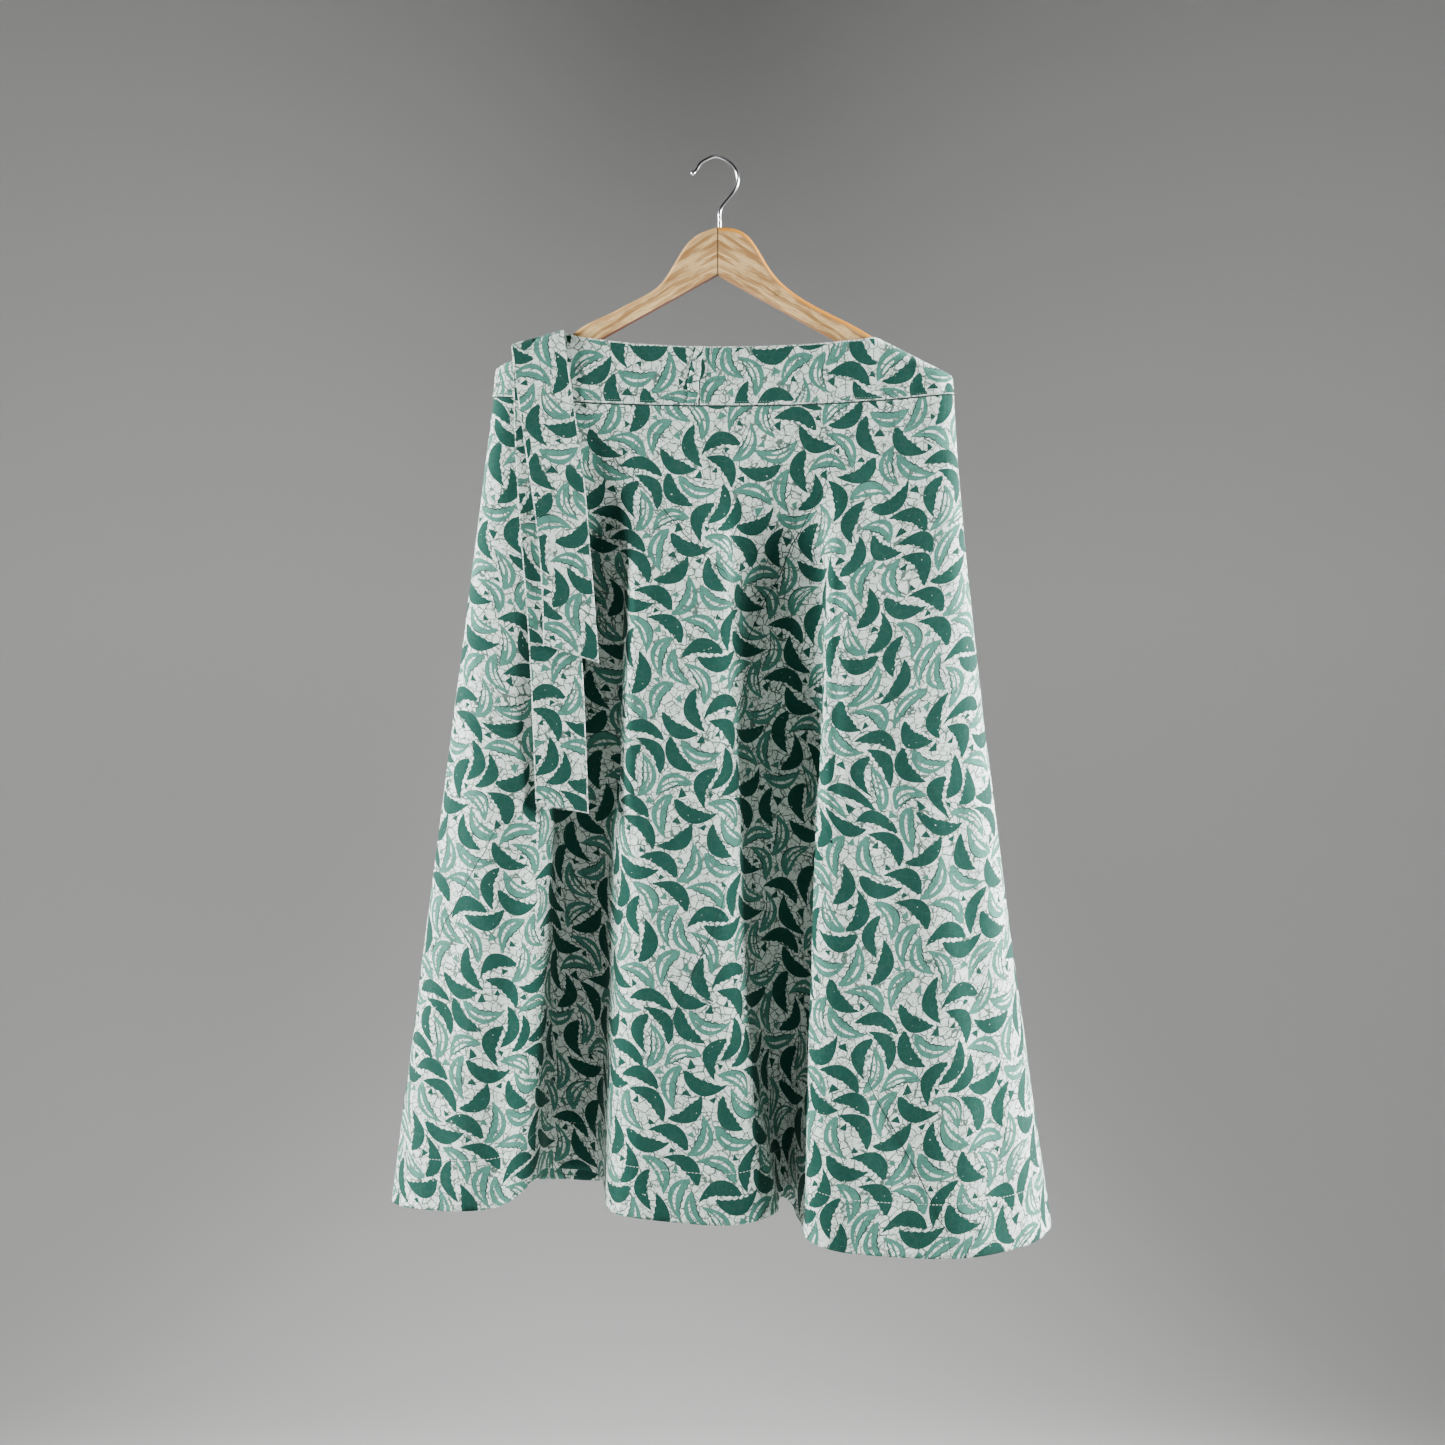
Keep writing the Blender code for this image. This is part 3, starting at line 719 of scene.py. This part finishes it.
def cut_print(cloth, groups, shift, extra=()):
    """The flat cut as triangles: places, corners and an ink number for each triangle."""
    edge = cloth.outline()
    low, high = edge.min(0), edge.max(0)
    middle = (low + high) / 2
    reach = np.linalg.norm(high - low) / 2 + 0.03
    shapes = [("ground", edge)]
    shift = np.array(shift)
    first = np.floor((shift - reach) / REPEAT).astype(int)
    last = np.ceil((shift + reach) / REPEAT).astype(int)
    for i in range(first[0], last[0] + 1):
        for j in range(first[1], last[1] + 1):
            for group in groups:
                placed = [(ink, shape + REPEAT * (i, j) - shift + middle) for ink, shape in group]
                body = placed[0][1]
                if (body.max(0) >= low).all() and (body.min(0) <= high).all():
                    shapes += placed
    shapes += list(extra)
    marks = np.concatenate([shape for _, shape in shapes])
    lines = []
    count = 0
    for _, shape in shapes:
        lines += [(count + k, count + (k + 1) % len(shape)) for k in range(len(shape))]
        count += len(shape)
    columns = np.arange(low[0], high[0], GRID_STEP)
    rows = np.arange(low[1], high[1], GRID_STEP * ROW_STEP)
    lattice = np.array([
        (x + (k % 2) * GRID_STEP / 2, y) for k, y in enumerate(rows) for x in columns
    ])
    lattice = lattice[inside(lattice, edge)]
    tree = KDTree(len(marks))
    for k, mark in enumerate(marks):
        tree.insert((mark[0], mark[1], 0.0), k)
    tree.balance()
    far_enough = GRID_STEP * 0.36
    clear = [k for k, (x, y) in enumerate(lattice) if tree.find((x, y, 0.0))[2] > far_enough]
    every = np.concatenate([marks, lattice[clear]])
    flat = [Vector((float(x), float(y))) for x, y in every]
    verts, _, triangles, _, _, _ = delaunay_2d_cdt(flat, lines, [], 0, 1e-6)
    places = np.array([(v.x, v.y) for v in verts])
    corners = np.array(triangles)
    centre = places[corners].mean(1)
    keep = inside(centre, edge)
    corners = corners[keep]
    centre = centre[keep]
    inks = np.zeros(len(corners), int)
    for ink, shape in shapes[1:]:
        box = ((centre > shape.min(0)) & (centre < shape.max(0))).all(1)
        near = np.nonzero(box)[0]
        inks[near[inside(centre[near], shape)]] = INKS.index(ink)
    return places, corners, inks


# Materials


class Look:
    """A material, with short ways to add nodes to it and to join them."""

    def __init__(self, name):
        self.made = bpy.data.materials.new(name)
        self.made.use_nodes = True
        self.tree = self.made.node_tree

    def feed(self, socket, value):
        """Set an input to a number, a place or a colour, or join another node's output to it."""
        if isinstance(value, bpy.types.NodeSocket):
            self.tree.links.new(value, socket)
        elif socket.type == "RGBA":
            socket.default_value = (*value, 1.0)
        else:
            socket.default_value = value

    def add(self, kind, inputs=None, **settings):
        """A node with its settings, and with its inputs by name or number."""
        node = self.tree.nodes.new(kind)
        for key, value in settings.items():
            setattr(node, key, value)
        for key, value in (inputs or {}).items():
            self.feed(node.inputs[key], value)
        return node

    def flat_map(self, name):
        return self.add("ShaderNodeUVMap", uv_map=name).outputs[0]

    def split(self, place):
        return self.add("ShaderNodeSeparateXYZ", {0: place}).outputs

    def math(self, operation, *values):
        return self.add("ShaderNodeMath", dict(enumerate(values)), operation=operation).outputs[0]

    def times(self, a, b):
        return self.math("MULTIPLY", a, b)

    def plus(self, a, b):
        return self.math("ADD", a, b)

    def mix(self, factor, a, b):
        return self.add("ShaderNodeMix", {0: factor, 6: a, 7: b}, data_type="RGBA").outputs[2]

    def noise(self, place, scale, detail=2.0, roughness=0.5, output="Fac"):
        inputs = {"Vector": place, "Scale": scale, "Detail": detail, "Roughness": roughness}
        return self.add("ShaderNodeTexNoise", inputs).outputs[output]

    def fibres(self, place, along, across, detail=2.0, roughness=0.5):
        """Noise drawn out into fibres, with its two scales along and across them."""
        drawn = self.add("ShaderNodeMapping", {"Vector": place, "Scale": (along, across, 1.0)})
        return self.noise(drawn.outputs[0], 1.0, detail, roughness)

    def wander(self, place, scale, reach):
        """A place moved about a little by soft noise."""
        inputs = {"Fac": reach, 1: place, 2: self.noise(place, scale, output="Color")}
        return self.add("ShaderNodeMixRGB", inputs, blend_type="LINEAR_LIGHT").outputs[0]

    def cells(self, place, scale, feature="F1"):
        inputs = {"Vector": place, "Scale": scale}
        return self.add("ShaderNodeTexVoronoi", inputs, feature=feature).outputs["Distance"]

    def step_up(self, value, low, high):
        """A soft step from 0 at low to 1 at high."""
        inputs = {"Value": value, "From Min": low, "From Max": high}
        return self.add("ShaderNodeMapRange", inputs, interpolation_type="SMOOTHSTEP").outputs[0]

    def bump(self, height, strength, distance, **under):
        inputs = {"Height": height, "Strength": strength, "Distance": distance, **under}
        return self.add("ShaderNodeBump", inputs).outputs[0]

    def surface(self, **inputs):
        """The finished material; an underscore in an input's name stands for a space."""
        shader = self.tree.nodes["Principled BSDF"]
        for key, value in inputs.items():
            self.feed(shader.inputs[key.replace("_", " ")], value)
        return self.made


INK_COLOURS = {
    "ground": ((0.500, 0.580, 0.520), (0.735, 0.825, 0.768)),
    "light": ((0.042, 0.160, 0.122), (0.072, 0.225, 0.174)),
    "dark": ((0.0015, 0.038, 0.027), (0.0040, 0.062, 0.045)),
    "line": ((0.005, 0.024, 0.020), (0.010, 0.038, 0.031)),
}

# Wax crackle: how much of it each ink shows, and its scale, width, share and rarity
CRACKLE = {"ground": 0.90, "light": 0.40, "dark": 0.22, "line": 0.0}
CRACKS = ((108.0, 0.044, 1.00, 0.30), (215.0, 0.056, 0.75, 0.46))
CRACK_COLOUR = (0.030, 0.080, 0.062)
FLECK_COLOUR = (0.50, 0.58, 0.52)
THREAD_COLOURS = ((0.56, 0.60, 0.54), (0.80, 0.82, 0.77))
WOOD_COLOURS = {
    "pale": (0.86, 0.60, 0.27), "band": (0.36, 0.195, 0.068), "line": (0.23, 0.11, 0.036),
    "stain": (0.22, 0.10, 0.035), "speck": (0.06, 0.03, 0.015), "knot": (0.17, 0.08, 0.03),
    "painted shade near edge": (0.24, 0.11, 0.035), "seam": (0.09, 0.05, 0.025),
}
CHROME_COLOURS = ((0.52, 0.52, 0.54), (0.80, 0.80, 0.82))
FLOOR_COLOURS = ((0.70, 0.70, 0.69), (0.74, 0.74, 0.73))


def print_material(ink):
    """Printed plain-weave cotton: an ink with slubs, wax crackle, flecks and a fine weave."""
    look = Look("cloth_" + ink)
    flat = look.flat_map("cloth")
    colour = look.mix(look.noise(flat, 42.0, 4.0, 0.6), *INK_COLOURS[ink])
    weave = look.plus(look.fibres(flat, 1500.0, 60.0), look.fibres(flat, 60.0, 1500.0))
    shade = look.times(look.math("SUBTRACT", weave, 1.0), 0.50)
    tone = {"Value": look.plus(shade, 1.0), "Color": colour}
    colour = look.add("ShaderNodeHueSaturation", tone).outputs[0]
    moved = look.wander(flat, 150.0, 0.0022)
    for scale, wide, share, rarity in CRACKS:
        line = look.math("LESS_THAN", look.cells(moved, scale, "DISTANCE_TO_EDGE"), wide)
        some = look.step_up(look.noise(flat, scale * 0.60, 1.0), rarity, rarity + 0.10)
        crack = look.times(look.times(line, some), CRACKLE[ink] * share)
        colour = look.mix(crack, colour, CRACK_COLOUR)
    if ink == "dark":
        spot = look.math("LESS_THAN", look.cells(flat, 300.0), 0.20)
        few = look.math("GREATER_THAN", look.noise(flat, 190.0), 0.66)
        colour = look.mix(look.times(spot, few), colour, FLECK_COLOUR)
    rumple = look.bump(look.noise(flat, 34.0, 3.0, 0.55), 0.55, 0.0022)
    return look.surface(
        Base_Color=colour, Roughness=0.88, Specular_IOR_Level=0.18, Sheen_Weight=0.06,
        Sheen_Roughness=0.5, Normal=look.bump(weave, 0.40, 0.0004, Normal=rumple),
    )


def thread_material():
    """Pale sewing thread with a twist."""
    look = Look("thread")
    colour = look.mix(look.noise(look.flat_map("cloth"), 900.0), *THREAD_COLOURS)
    return look.surface(Base_Color=colour, Roughness=0.7)


def grain_place(distance, z):
    """Where a point of an arm lies along and across its grain."""
    return distance - 0.5 * z, z + UNDERSIDE_SLOPE * distance


def wood_material(name, highlit_lacquer_colour, painted_edge_light_share, underside_shade_colour, has_knot):
    """Pale wood: grain along the arm, soft dark bands and specks, an amber top edge of lacquer
    brightened as a painted highlight, and painted shade beside it and along the underside.
    """
    look = Look(name)
    place = look.wander(look.flat_map("grain"), 26.0, 0.004)
    section = look.split(look.flat_map("section"))
    below_top, above_bottom = section["X"], section["Y"]
    from_joint = look.split(look.flat_map("joint"))["X"]
    inks = WOOD_COLOURS
    bands = look.step_up(look.fibres(place, 16.0, 150.0, 3.0, 0.6), 0.40, 0.62)
    lines = look.fibres(place, 55.0, 1500.0, 3.0, 0.7)
    stain = look.step_up(look.noise(place, 30.0, 4.0, 0.65), 0.60, 0.80)
    speck = look.step_up(look.fibres(place, 260.0, 620.0, 1.0), 0.735, 0.77)
    layers = [
        (look.step_up(lines, 0.34, 0.80), inks["line"]), (look.times(stain, 0.60), inks["stain"]),
        (speck, inks["speck"]),
    ]
    if has_knot:
        middle = (*grain_place(*KNOT), 0.0)
        away = look.add("ShaderNodeVectorMath", {0: place, 1: middle}, operation="DISTANCE")
        far = away.outputs["Value"]
        rings = look.plus(look.times(look.math("SINE", look.times(far, 3000.0)), 0.28), 0.50)
        layers.append((look.times(rings, look.step_up(far, 0.0062, 0.0025)), inks["knot"]))
    patchy = look.step_up(look.noise(place, 48.0, 3.0), 0.40, 0.60)
    # Painted light at the edges: patchy painted shade beside the top edge, a painted highlight on
    # the top edge's amber lacquer, both stronger on the right arm, and painted shade along the
    # underside.
    beside = look.times(look.step_up(below_top, 0.0130, 0.0055), patchy)
    edge = look.step_up(below_top, 0.0056, 0.0036)
    layers += [
        (look.times(beside, 0.70 * painted_edge_light_share), inks["painted shade near edge"]),
        (look.times(edge, painted_edge_light_share), highlit_lacquer_colour),
        (look.step_up(above_bottom, 0.0022, 0.0010), underside_shade_colour),
        (look.step_up(from_joint, 0.0008, 0.0004), inks["seam"]),
    ]
    colour = look.mix(bands, inks["pale"], inks["band"])
    for share, ink in layers:
        colour = look.mix(share, colour, ink)
    return look.surface(
        Base_Color=colour, Roughness=0.42, Coat_Weight=0.25, Coat_Roughness=0.25,
        Normal=look.bump(lines, 0.25, 0.0003),
    )


def chrome_material():
    """Bright chrome with faint drawing marks along the wire."""
    look = Look("chrome")
    marks = look.fibres(look.flat_map("grain"), 40.0, 2600.0)
    rough = look.plus(look.times(marks, 0.16), 0.15)
    return look.surface(Base_Color=look.mix(marks, *CHROME_COLOURS), Metallic=1.0, Roughness=rough)


# Pieces


def into_scene(name, data):
    made = bpy.data.objects.new(name, data)
    bpy.context.scene.collection.objects.link(made)
    return made


def add_piece(name, points, faces, materials, kinds=None, maps=()):
    """A smooth mesh object that rides on the body, with flat maps given for each point."""
    mesh = bpy.data.meshes.new(name)
    mesh.from_pydata([tuple(p) for p in points], [], [tuple(f) for f in faces])
    for made in materials:
        mesh.materials.append(made)
    if kinds is not None:
        mesh.polygons.foreach_set("material_index", np.asarray(kinds, np.int32))
    loops = np.zeros(len(mesh.loops), np.int32)
    mesh.loops.foreach_get("vertex_index", loops)
    for label, flat in maps:
        layer = mesh.uv_layers.new(name=label)
        layer.data.foreach_set("uv", flat[loops].astype(np.float32).ravel())
    mesh.shade_smooth()
    piece = into_scene(name, mesh)
    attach(piece, "root")
    return piece


def bar_faces(rings, sides, first=0):
    """The faces of a closed bar through rings of points, with flat ends."""
    last = first + rings * sides - 1
    faces = [tuple(range(first, first + sides)), tuple(range(last, last - sides, -1))]
    for r in range(rings - 1):
        for s in range(sides):
            a = first + r * sides + s
            b = first + r * sides + (s + 1) % sides
            faces.append((a, a + sides, b + sides, b))
    return faces


def make_cloth(node, cloth, cut, inks, thick=THICK):
    """The printed piece over a node: its flat cut on its grid, with its real thickness."""
    places, corners, kinds = cut
    points = cloth.place(places[:, 0], places[:, 1])
    piece = add_piece(node + "_cloth", points, corners, inks, kinds, [("cloth", places)])
    solid = piece.modifiers.new("thickness", "SOLIDIFY")
    solid.thickness = thick
    solid.offset = 0.0
    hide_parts(node)
    wide, long = cloth.flat()
    round(cloth.area(), 5)


def stitches(name, slot, cloth, path, pitch, long, wide, high, finish):
    """A row of thread stitches along a flat path, each a small rounded bar on the cloth."""
    along = lengths_along(path)
    middles = np.arange(pitch, along[-1] - pitch, pitch)
    stations = np.array([-0.5, -0.32, 0.32, 0.5])
    swell = np.array([0.35, 1.0, 1.0, 0.35])
    at = (middles[:, None] + stations * long)[..., None]
    at = np.broadcast_to(at, at.shape[:2] + (4,)).reshape(-1)
    flat = np.stack([np.interp(at, along, path[:, 0]), np.interp(at, along, path[:, 1])], axis=1)
    beside = np.tile(np.array([-0.5, 0.0, 0.5, 0.0]), len(middles) * 4)
    above = np.tile(np.array([0.0, 1.0, 0.0, -0.4]), len(middles) * 4)
    size = np.tile(np.repeat(swell, 4), len(middles))
    flat[:, 1] += beside * wide * size
    points = cloth.place(flat[:, 0], flat[:, 1], THICK / 2 + above * high * size)
    faces = [face for k in range(len(middles)) for face in bar_faces(4, 4, k * 16)]
    piece = add_piece(name, points, faces, [finish], maps=[("cloth", flat)])


def skirt_cloths(creases):
    """The grids of the skirt's panels and of the band's lengths."""
    falls = np.linspace(0.0004, 1.0, SKIRT_ROWS)
    levels = np.linspace(0, 1, BAND_ROWS)
    spans = {
        "front": (-LAP_BEHIND, 1.0 - SIDE_MEET), "under": (SIDE_MEET, UNDER_SHARE),
        "back": (1.0 + SIDE_MEET, 2.0 - SIDE_MEET),
    }
    cloths = {}
    for part, span in spans.items():
        q = np.linspace(*span, COLUMNS[part])
        lift = lap_lift(q) if part == "front" else np.zeros(len(q))
        ripple = 0.00035 * np.sin(q * 61 + 1.0) + 0.00025 * np.sin(q * 143)
        cloths["skirt_" + part] = Cloth(ring_grid(q, falls, skirt_ring, lift, creases))
        cloths["band_" + part] = Cloth(ring_grid(q, levels, band_ring, lift + BAND_STEP + ripple))
    return cloths


def lap_strip_cloth():
    knots = station_knots()[:len(FRONT_STATIONS)]
    edges = np.interp(LAP_STRIP_X, column(FRONT_STATIONS, 1), knots)
    q = np.linspace(*edges, 24)
    levels = np.linspace(0, 0.96, BAND_ROWS)
    points = ring_grid(q, levels, band_ring, lap_lift(q) + LAP_STRIP_STEP + 0.0003)
    narrow = 1 - 0.18 * levels[:, None]
    middle = points[:, 12:13]
    wave = 0.0008 * np.sin(levels * 17 + 0.6)[:, None, None]
    points = middle + (points - middle) * narrow[..., None] + wave * np.array([1.0, -0.25, 0.0])
    return Cloth(points)


def front_reach():
    """How far forward the band and the skirt come under the ties: heights and least y."""
    q = np.linspace(0.0, 0.5, 160)
    rings = [band_ring(s) for s in np.linspace(0, 1, 5)]
    rings += [skirt_ring(t) for t in np.linspace(0.04, 1, 22)]
    knots = station_knots()
    heights = []
    depths = []
    for ring in rings:
        points = spline(knots, ring, q, period=2.0)
        middle = np.interp(-points[:, 2].mean(), -column(REAR_TIE, 1), column(REAR_TIE, 2))
        near = np.abs(points[:, 0] - middle) < TIE_REACH
        heights.append(points[near, 2].mean())
        depths.append(points[near, 1].min())
    order = np.argsort(heights)
    reach = np.minimum(np.array(depths), -BAND_LEVELS[-1][6])
    return np.array(heights)[order], reach[order]


def tie_cloth(name, rows, layer):
    """A tie over the left shoulder of the band, in front down to its slanted end."""
    z_rows = column(rows, 1)
    fold = z_rows[0]
    count = 90
    z = np.linspace(fold - 2 * TIE_ARCH_DROP, z_rows[-1], count)
    middle = spline(-z_rows, column(rows, 2), -z)
    width = spline(-z_rows, column(rows, 3), -z)
    clear = LAP_LIFT + CAD_CLOTH + SEAM_GAP + layer * TIE_STEP
    heights, reach = front_reach()
    half_depth = BAND_LEVELS[-1][6] + clear
    across = np.linspace(-0.5, 0.5, 21)
    top_x = rows[0][2] + across * rows[0][3]
    top_z = fold + TIE_FOLD_SLOPE * across * rows[0][3]
    over = [(drop, half_depth) for drop in TIE_BEHIND[::-1]]
    turns = np.linspace(0, math.pi, 15)
    over += [(TIE_ARCH_DROP * (1 - math.sin(a) ** 0.7), half_depth * math.cos(a)) for a in turns]
    grid = [np.stack([top_x, np.full_like(top_x, y), top_z - drop], axis=1) for drop, y in over]
    for k, share in enumerate(np.linspace(0, 1, count)):
        x = middle[k] + across * width[k]
        rise = TIE_FOLD_SLOPE * across * width[k] * (1 - share) ** 4
        slant = TIE_SLANT[name] * (across + 0.5) * share ** 6
        height = z[k] + rise + slant
        sway = 0.0006 * math.sin(9 * share + 2 * layer)
        sway = sway + 0.0007 * layer * np.sin(5.5 * across + 7 * share)
        crown = 0.0011 * layer * (1 - 4 * across ** 2)
        y = np.interp(height, heights, reach) - clear - np.clip(sway + crown, -0.0004, 0.003)
        grid.append(np.stack([x, y, height], axis=1))
    return Cloth(np.stack(grid))


def tube(name, rings, finish, maps):
    """A closed body through rings of equal count, with flat ends."""
    faces = bar_faces(len(rings), len(rings[0]))
    piece = add_piece(name, np.concatenate(rings), faces, [finish], maps=maps)
    piece.data.set_sharp_from_angle(angle=math.radians(50))
    return piece


def wooden_arm(name, facing, stations, finish, replaced):
    """One half of the hanger: a bar with rounded edges from the middle seam to its tip."""
    away = column(stations, 0)
    fine = np.concatenate([[0.00002, 0.0005, 0.0010], np.linspace(0.0020, away[-1], 110)])
    top = spline(away, column(stations, 1), fine)
    from_tip = np.clip((away[-1] - fine) / ARM_TIP_ROUND, 0, 1)
    bottom = UNDERSIDE_APEX - UNDERSIDE_SLOPE * fine
    bottom += ARM_TIP_ROUND * (1 - np.sqrt(1 - (1 - from_tip) ** 2))
    half = ARM_TIP_HALF + (ARM_HALF - ARM_TIP_HALF) * from_tip
    angles = np.linspace(0, 2 * math.pi, ARM_SIDES, endpoint=False)
    across, upward = (
        np.sign(wave) * np.abs(wave) ** (2 / ARM_SQUARE) for wave in (np.cos(angles), np.sin(angles))
    )
    rings = []
    flats = []
    for k, distance in enumerate(fine):
        z = (top[k] + bottom[k]) / 2 + (top[k] - bottom[k]) / 2 * upward
        x = np.full(ARM_SIDES, MIDDLE_X + facing * distance)
        rings.append(np.stack([x, half[k] * across, z], axis=1)[::facing])
        along, over = grain_place(distance, z)
        away_from_seam = np.full(ARM_SIDES, distance - fine[0])
        flat = (along, over, top[k] - z, z - bottom[k], away_from_seam, across)
        flats.append(np.stack(flat, axis=1)[::facing])
    flats = np.concatenate(flats)
    maps = [("grain", flats[:, :2]), ("section", flats[:, 2:4]), ("joint", flats[:, 4:])]
    piece = tube(name, rings, finish, maps)
    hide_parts(replaced)


def wire_hook():
    """The chrome wire, from its ball tip down into the wood."""
    route = np.array(HOOK_ROUTE)
    along = lengths_along(route)
    at = np.concatenate([np.linspace(0, 0.006, 14)[:-1], np.linspace(0.006, along[-1], 150)])
    line = spline(along, route, at)
    ahead = np.gradient(line, axis=0)
    ahead /= np.linalg.norm(ahead, axis=1, keepdims=True)
    ball = np.sqrt(np.clip(HOOK_BALL ** 2 - (at - HOOK_BALL) ** 2, 1e-9, None))
    radius = np.where(at < HOOK_BALL, ball, np.maximum(ball, HOOK_WIRE))
    angles = np.linspace(0, 2 * math.pi, HOOK_SIDES, endpoint=False)
    rings = []
    flats = []
    for point, way, size, far in zip(line, ahead, radius, at):
        side = np.array([-way[1], 0.0, way[0]])
        ring = np.cos(angles)[:, None] * side + np.sin(angles)[:, None] * np.array([0.0, 1.0, 0.0])
        rings.append(np.array([point[0], 0.0, point[1]]) + size * ring)
        flats.append(np.stack([np.full(HOOK_SIDES, far), angles * HOOK_WIRE], axis=1))
    piece = tube("wire_hook", rings, chrome_material(), [("grain", np.concatenate(flats))])
    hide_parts("hanger_hook")


def camera_and_lights():
    lens = bpy.data.cameras.new("camera")
    lens.sensor_width = SENSOR
    lens.lens = SENSOR * -CAMERA[1] / PICTURE_WIDTH
    eye = into_scene("camera", lens)
    eye.location = CAMERA
    eye.rotation_euler = (math.radians(90), 0, 0)
    bpy.context.scene.camera = eye
    for name, place, size, power in LIGHTS:
        data = bpy.data.lights.new(name, "AREA")
        data.size = size
        data.energy = power
        data.spread = LIGHT_SPREAD
        lamp = into_scene(name, data)
        lamp.location = place
        lamp.rotation_euler = (LIGHT_AIM - Vector(place)).to_track_quat("-Z", "Y").to_euler()
    world = bpy.data.worlds.new("studio")
    world.use_nodes = True
    backdrop = world.node_tree.nodes["Background"].inputs
    backdrop["Color"].default_value = WORLD_COLOUR
    backdrop["Strength"].default_value = WORLD_STRENGTH
    bpy.context.scene.world = world


def floor():
    """A pale studio floor that curves up into a wall far behind."""
    look = Look("floor_paint")
    place = look.add("ShaderNodeTexCoord").outputs["Object"]
    colour = look.mix(look.noise(place, 0.8), *FLOOR_COLOURS)
    profile = [(-FLOOR_HALF, FLOOR_Z), (WALL_START, FLOOR_Z)]
    for k in range(1, 17):
        a = k / 16 * math.pi / 2
        rise = WALL_BEND * (1 - math.cos(a))
        profile.append((WALL_START + WALL_BEND * math.sin(a), FLOOR_Z + rise))
    profile.append((WALL_START + WALL_BEND, FLOOR_Z + WALL_HEIGHT))
    points = [(x, y, z) for y, z in profile for x in (-FLOOR_HALF, FLOOR_HALF)]
    faces = [(2 * k, 2 * k + 1, 2 * k + 3, 2 * k + 2) for k in range(len(profile) - 1)]
    mesh = bpy.data.meshes.new("floor")
    mesh.from_pydata(points, [], faces)
    mesh.materials.append(look.surface(Base_Color=colour, Roughness=0.85))
    mesh.shade_smooth()
    into_scene("floor", mesh)


def rims(cloth, kind):
    return [(ink, cloth.rim(edge, wide)) for ink, edge, wide in RIMS[kind]]


def build():
    camera_and_lights()
    floor()
    inks = [print_material(ink) for ink in INKS]
    leaves = leaf_layout()
    groups = [leaf_shapes(leaf) for leaf in leaves] + [[shape] for shape in filler_shapes(leaves)]
    cloths = skirt_cloths(crease_places())
    for node, shift in PRINT_SHIFTS:
        cloth = cloths[node]
        is_band = node.startswith("band")
        extra = crack_shapes(cloth) if node == "skirt_front" else []
        extra += rims(cloth, "band" if is_band else "skirt")
        if node == "band_front":
            extra.append(("line", fold_shadow(cloth)))
        cut = cut_print(cloth, groups, shift, extra)
        slot = "band_print" if is_band else "leaf_print"
        thick = BAND_THICK if is_band else THICK
        make_cloth(node, cloth, cut, inks, thick)
    strip = lap_strip_cloth()
    cut = cut_print(strip, groups, LAP_SHIFT, rims(strip, "lap"))
    make_cloth("band_lap", strip, cut, inks)
    for node, rows, layer, shift in TIES:
        cloth = tie_cloth(node, rows, layer)
        cut = cut_print(cloth, groups, shift, rims(cloth, "tie"))
        make_cloth(node, cloth, cut, inks, TIE_THICK)
    thread = thread_material()
    for part in ("front", "back"):
        for name, panel, slot, over_edge, *sizes in STITCH_ROWS:
            cloth = cloths[panel + part]
            row = cloth.level(cloth.w[-1] - over_edge, 0.003)[3:-3]
            stitches(name + part, slot, cloth, row, *sizes, thread)
    for side, facing, stations, *edges in ARMS:
        finish = wood_material("wood_" + side, *edges, facing > 0)
        wooden_arm("wood_" + side, facing, stations, finish, "hanger_" + side)
    wire_hook()


build()
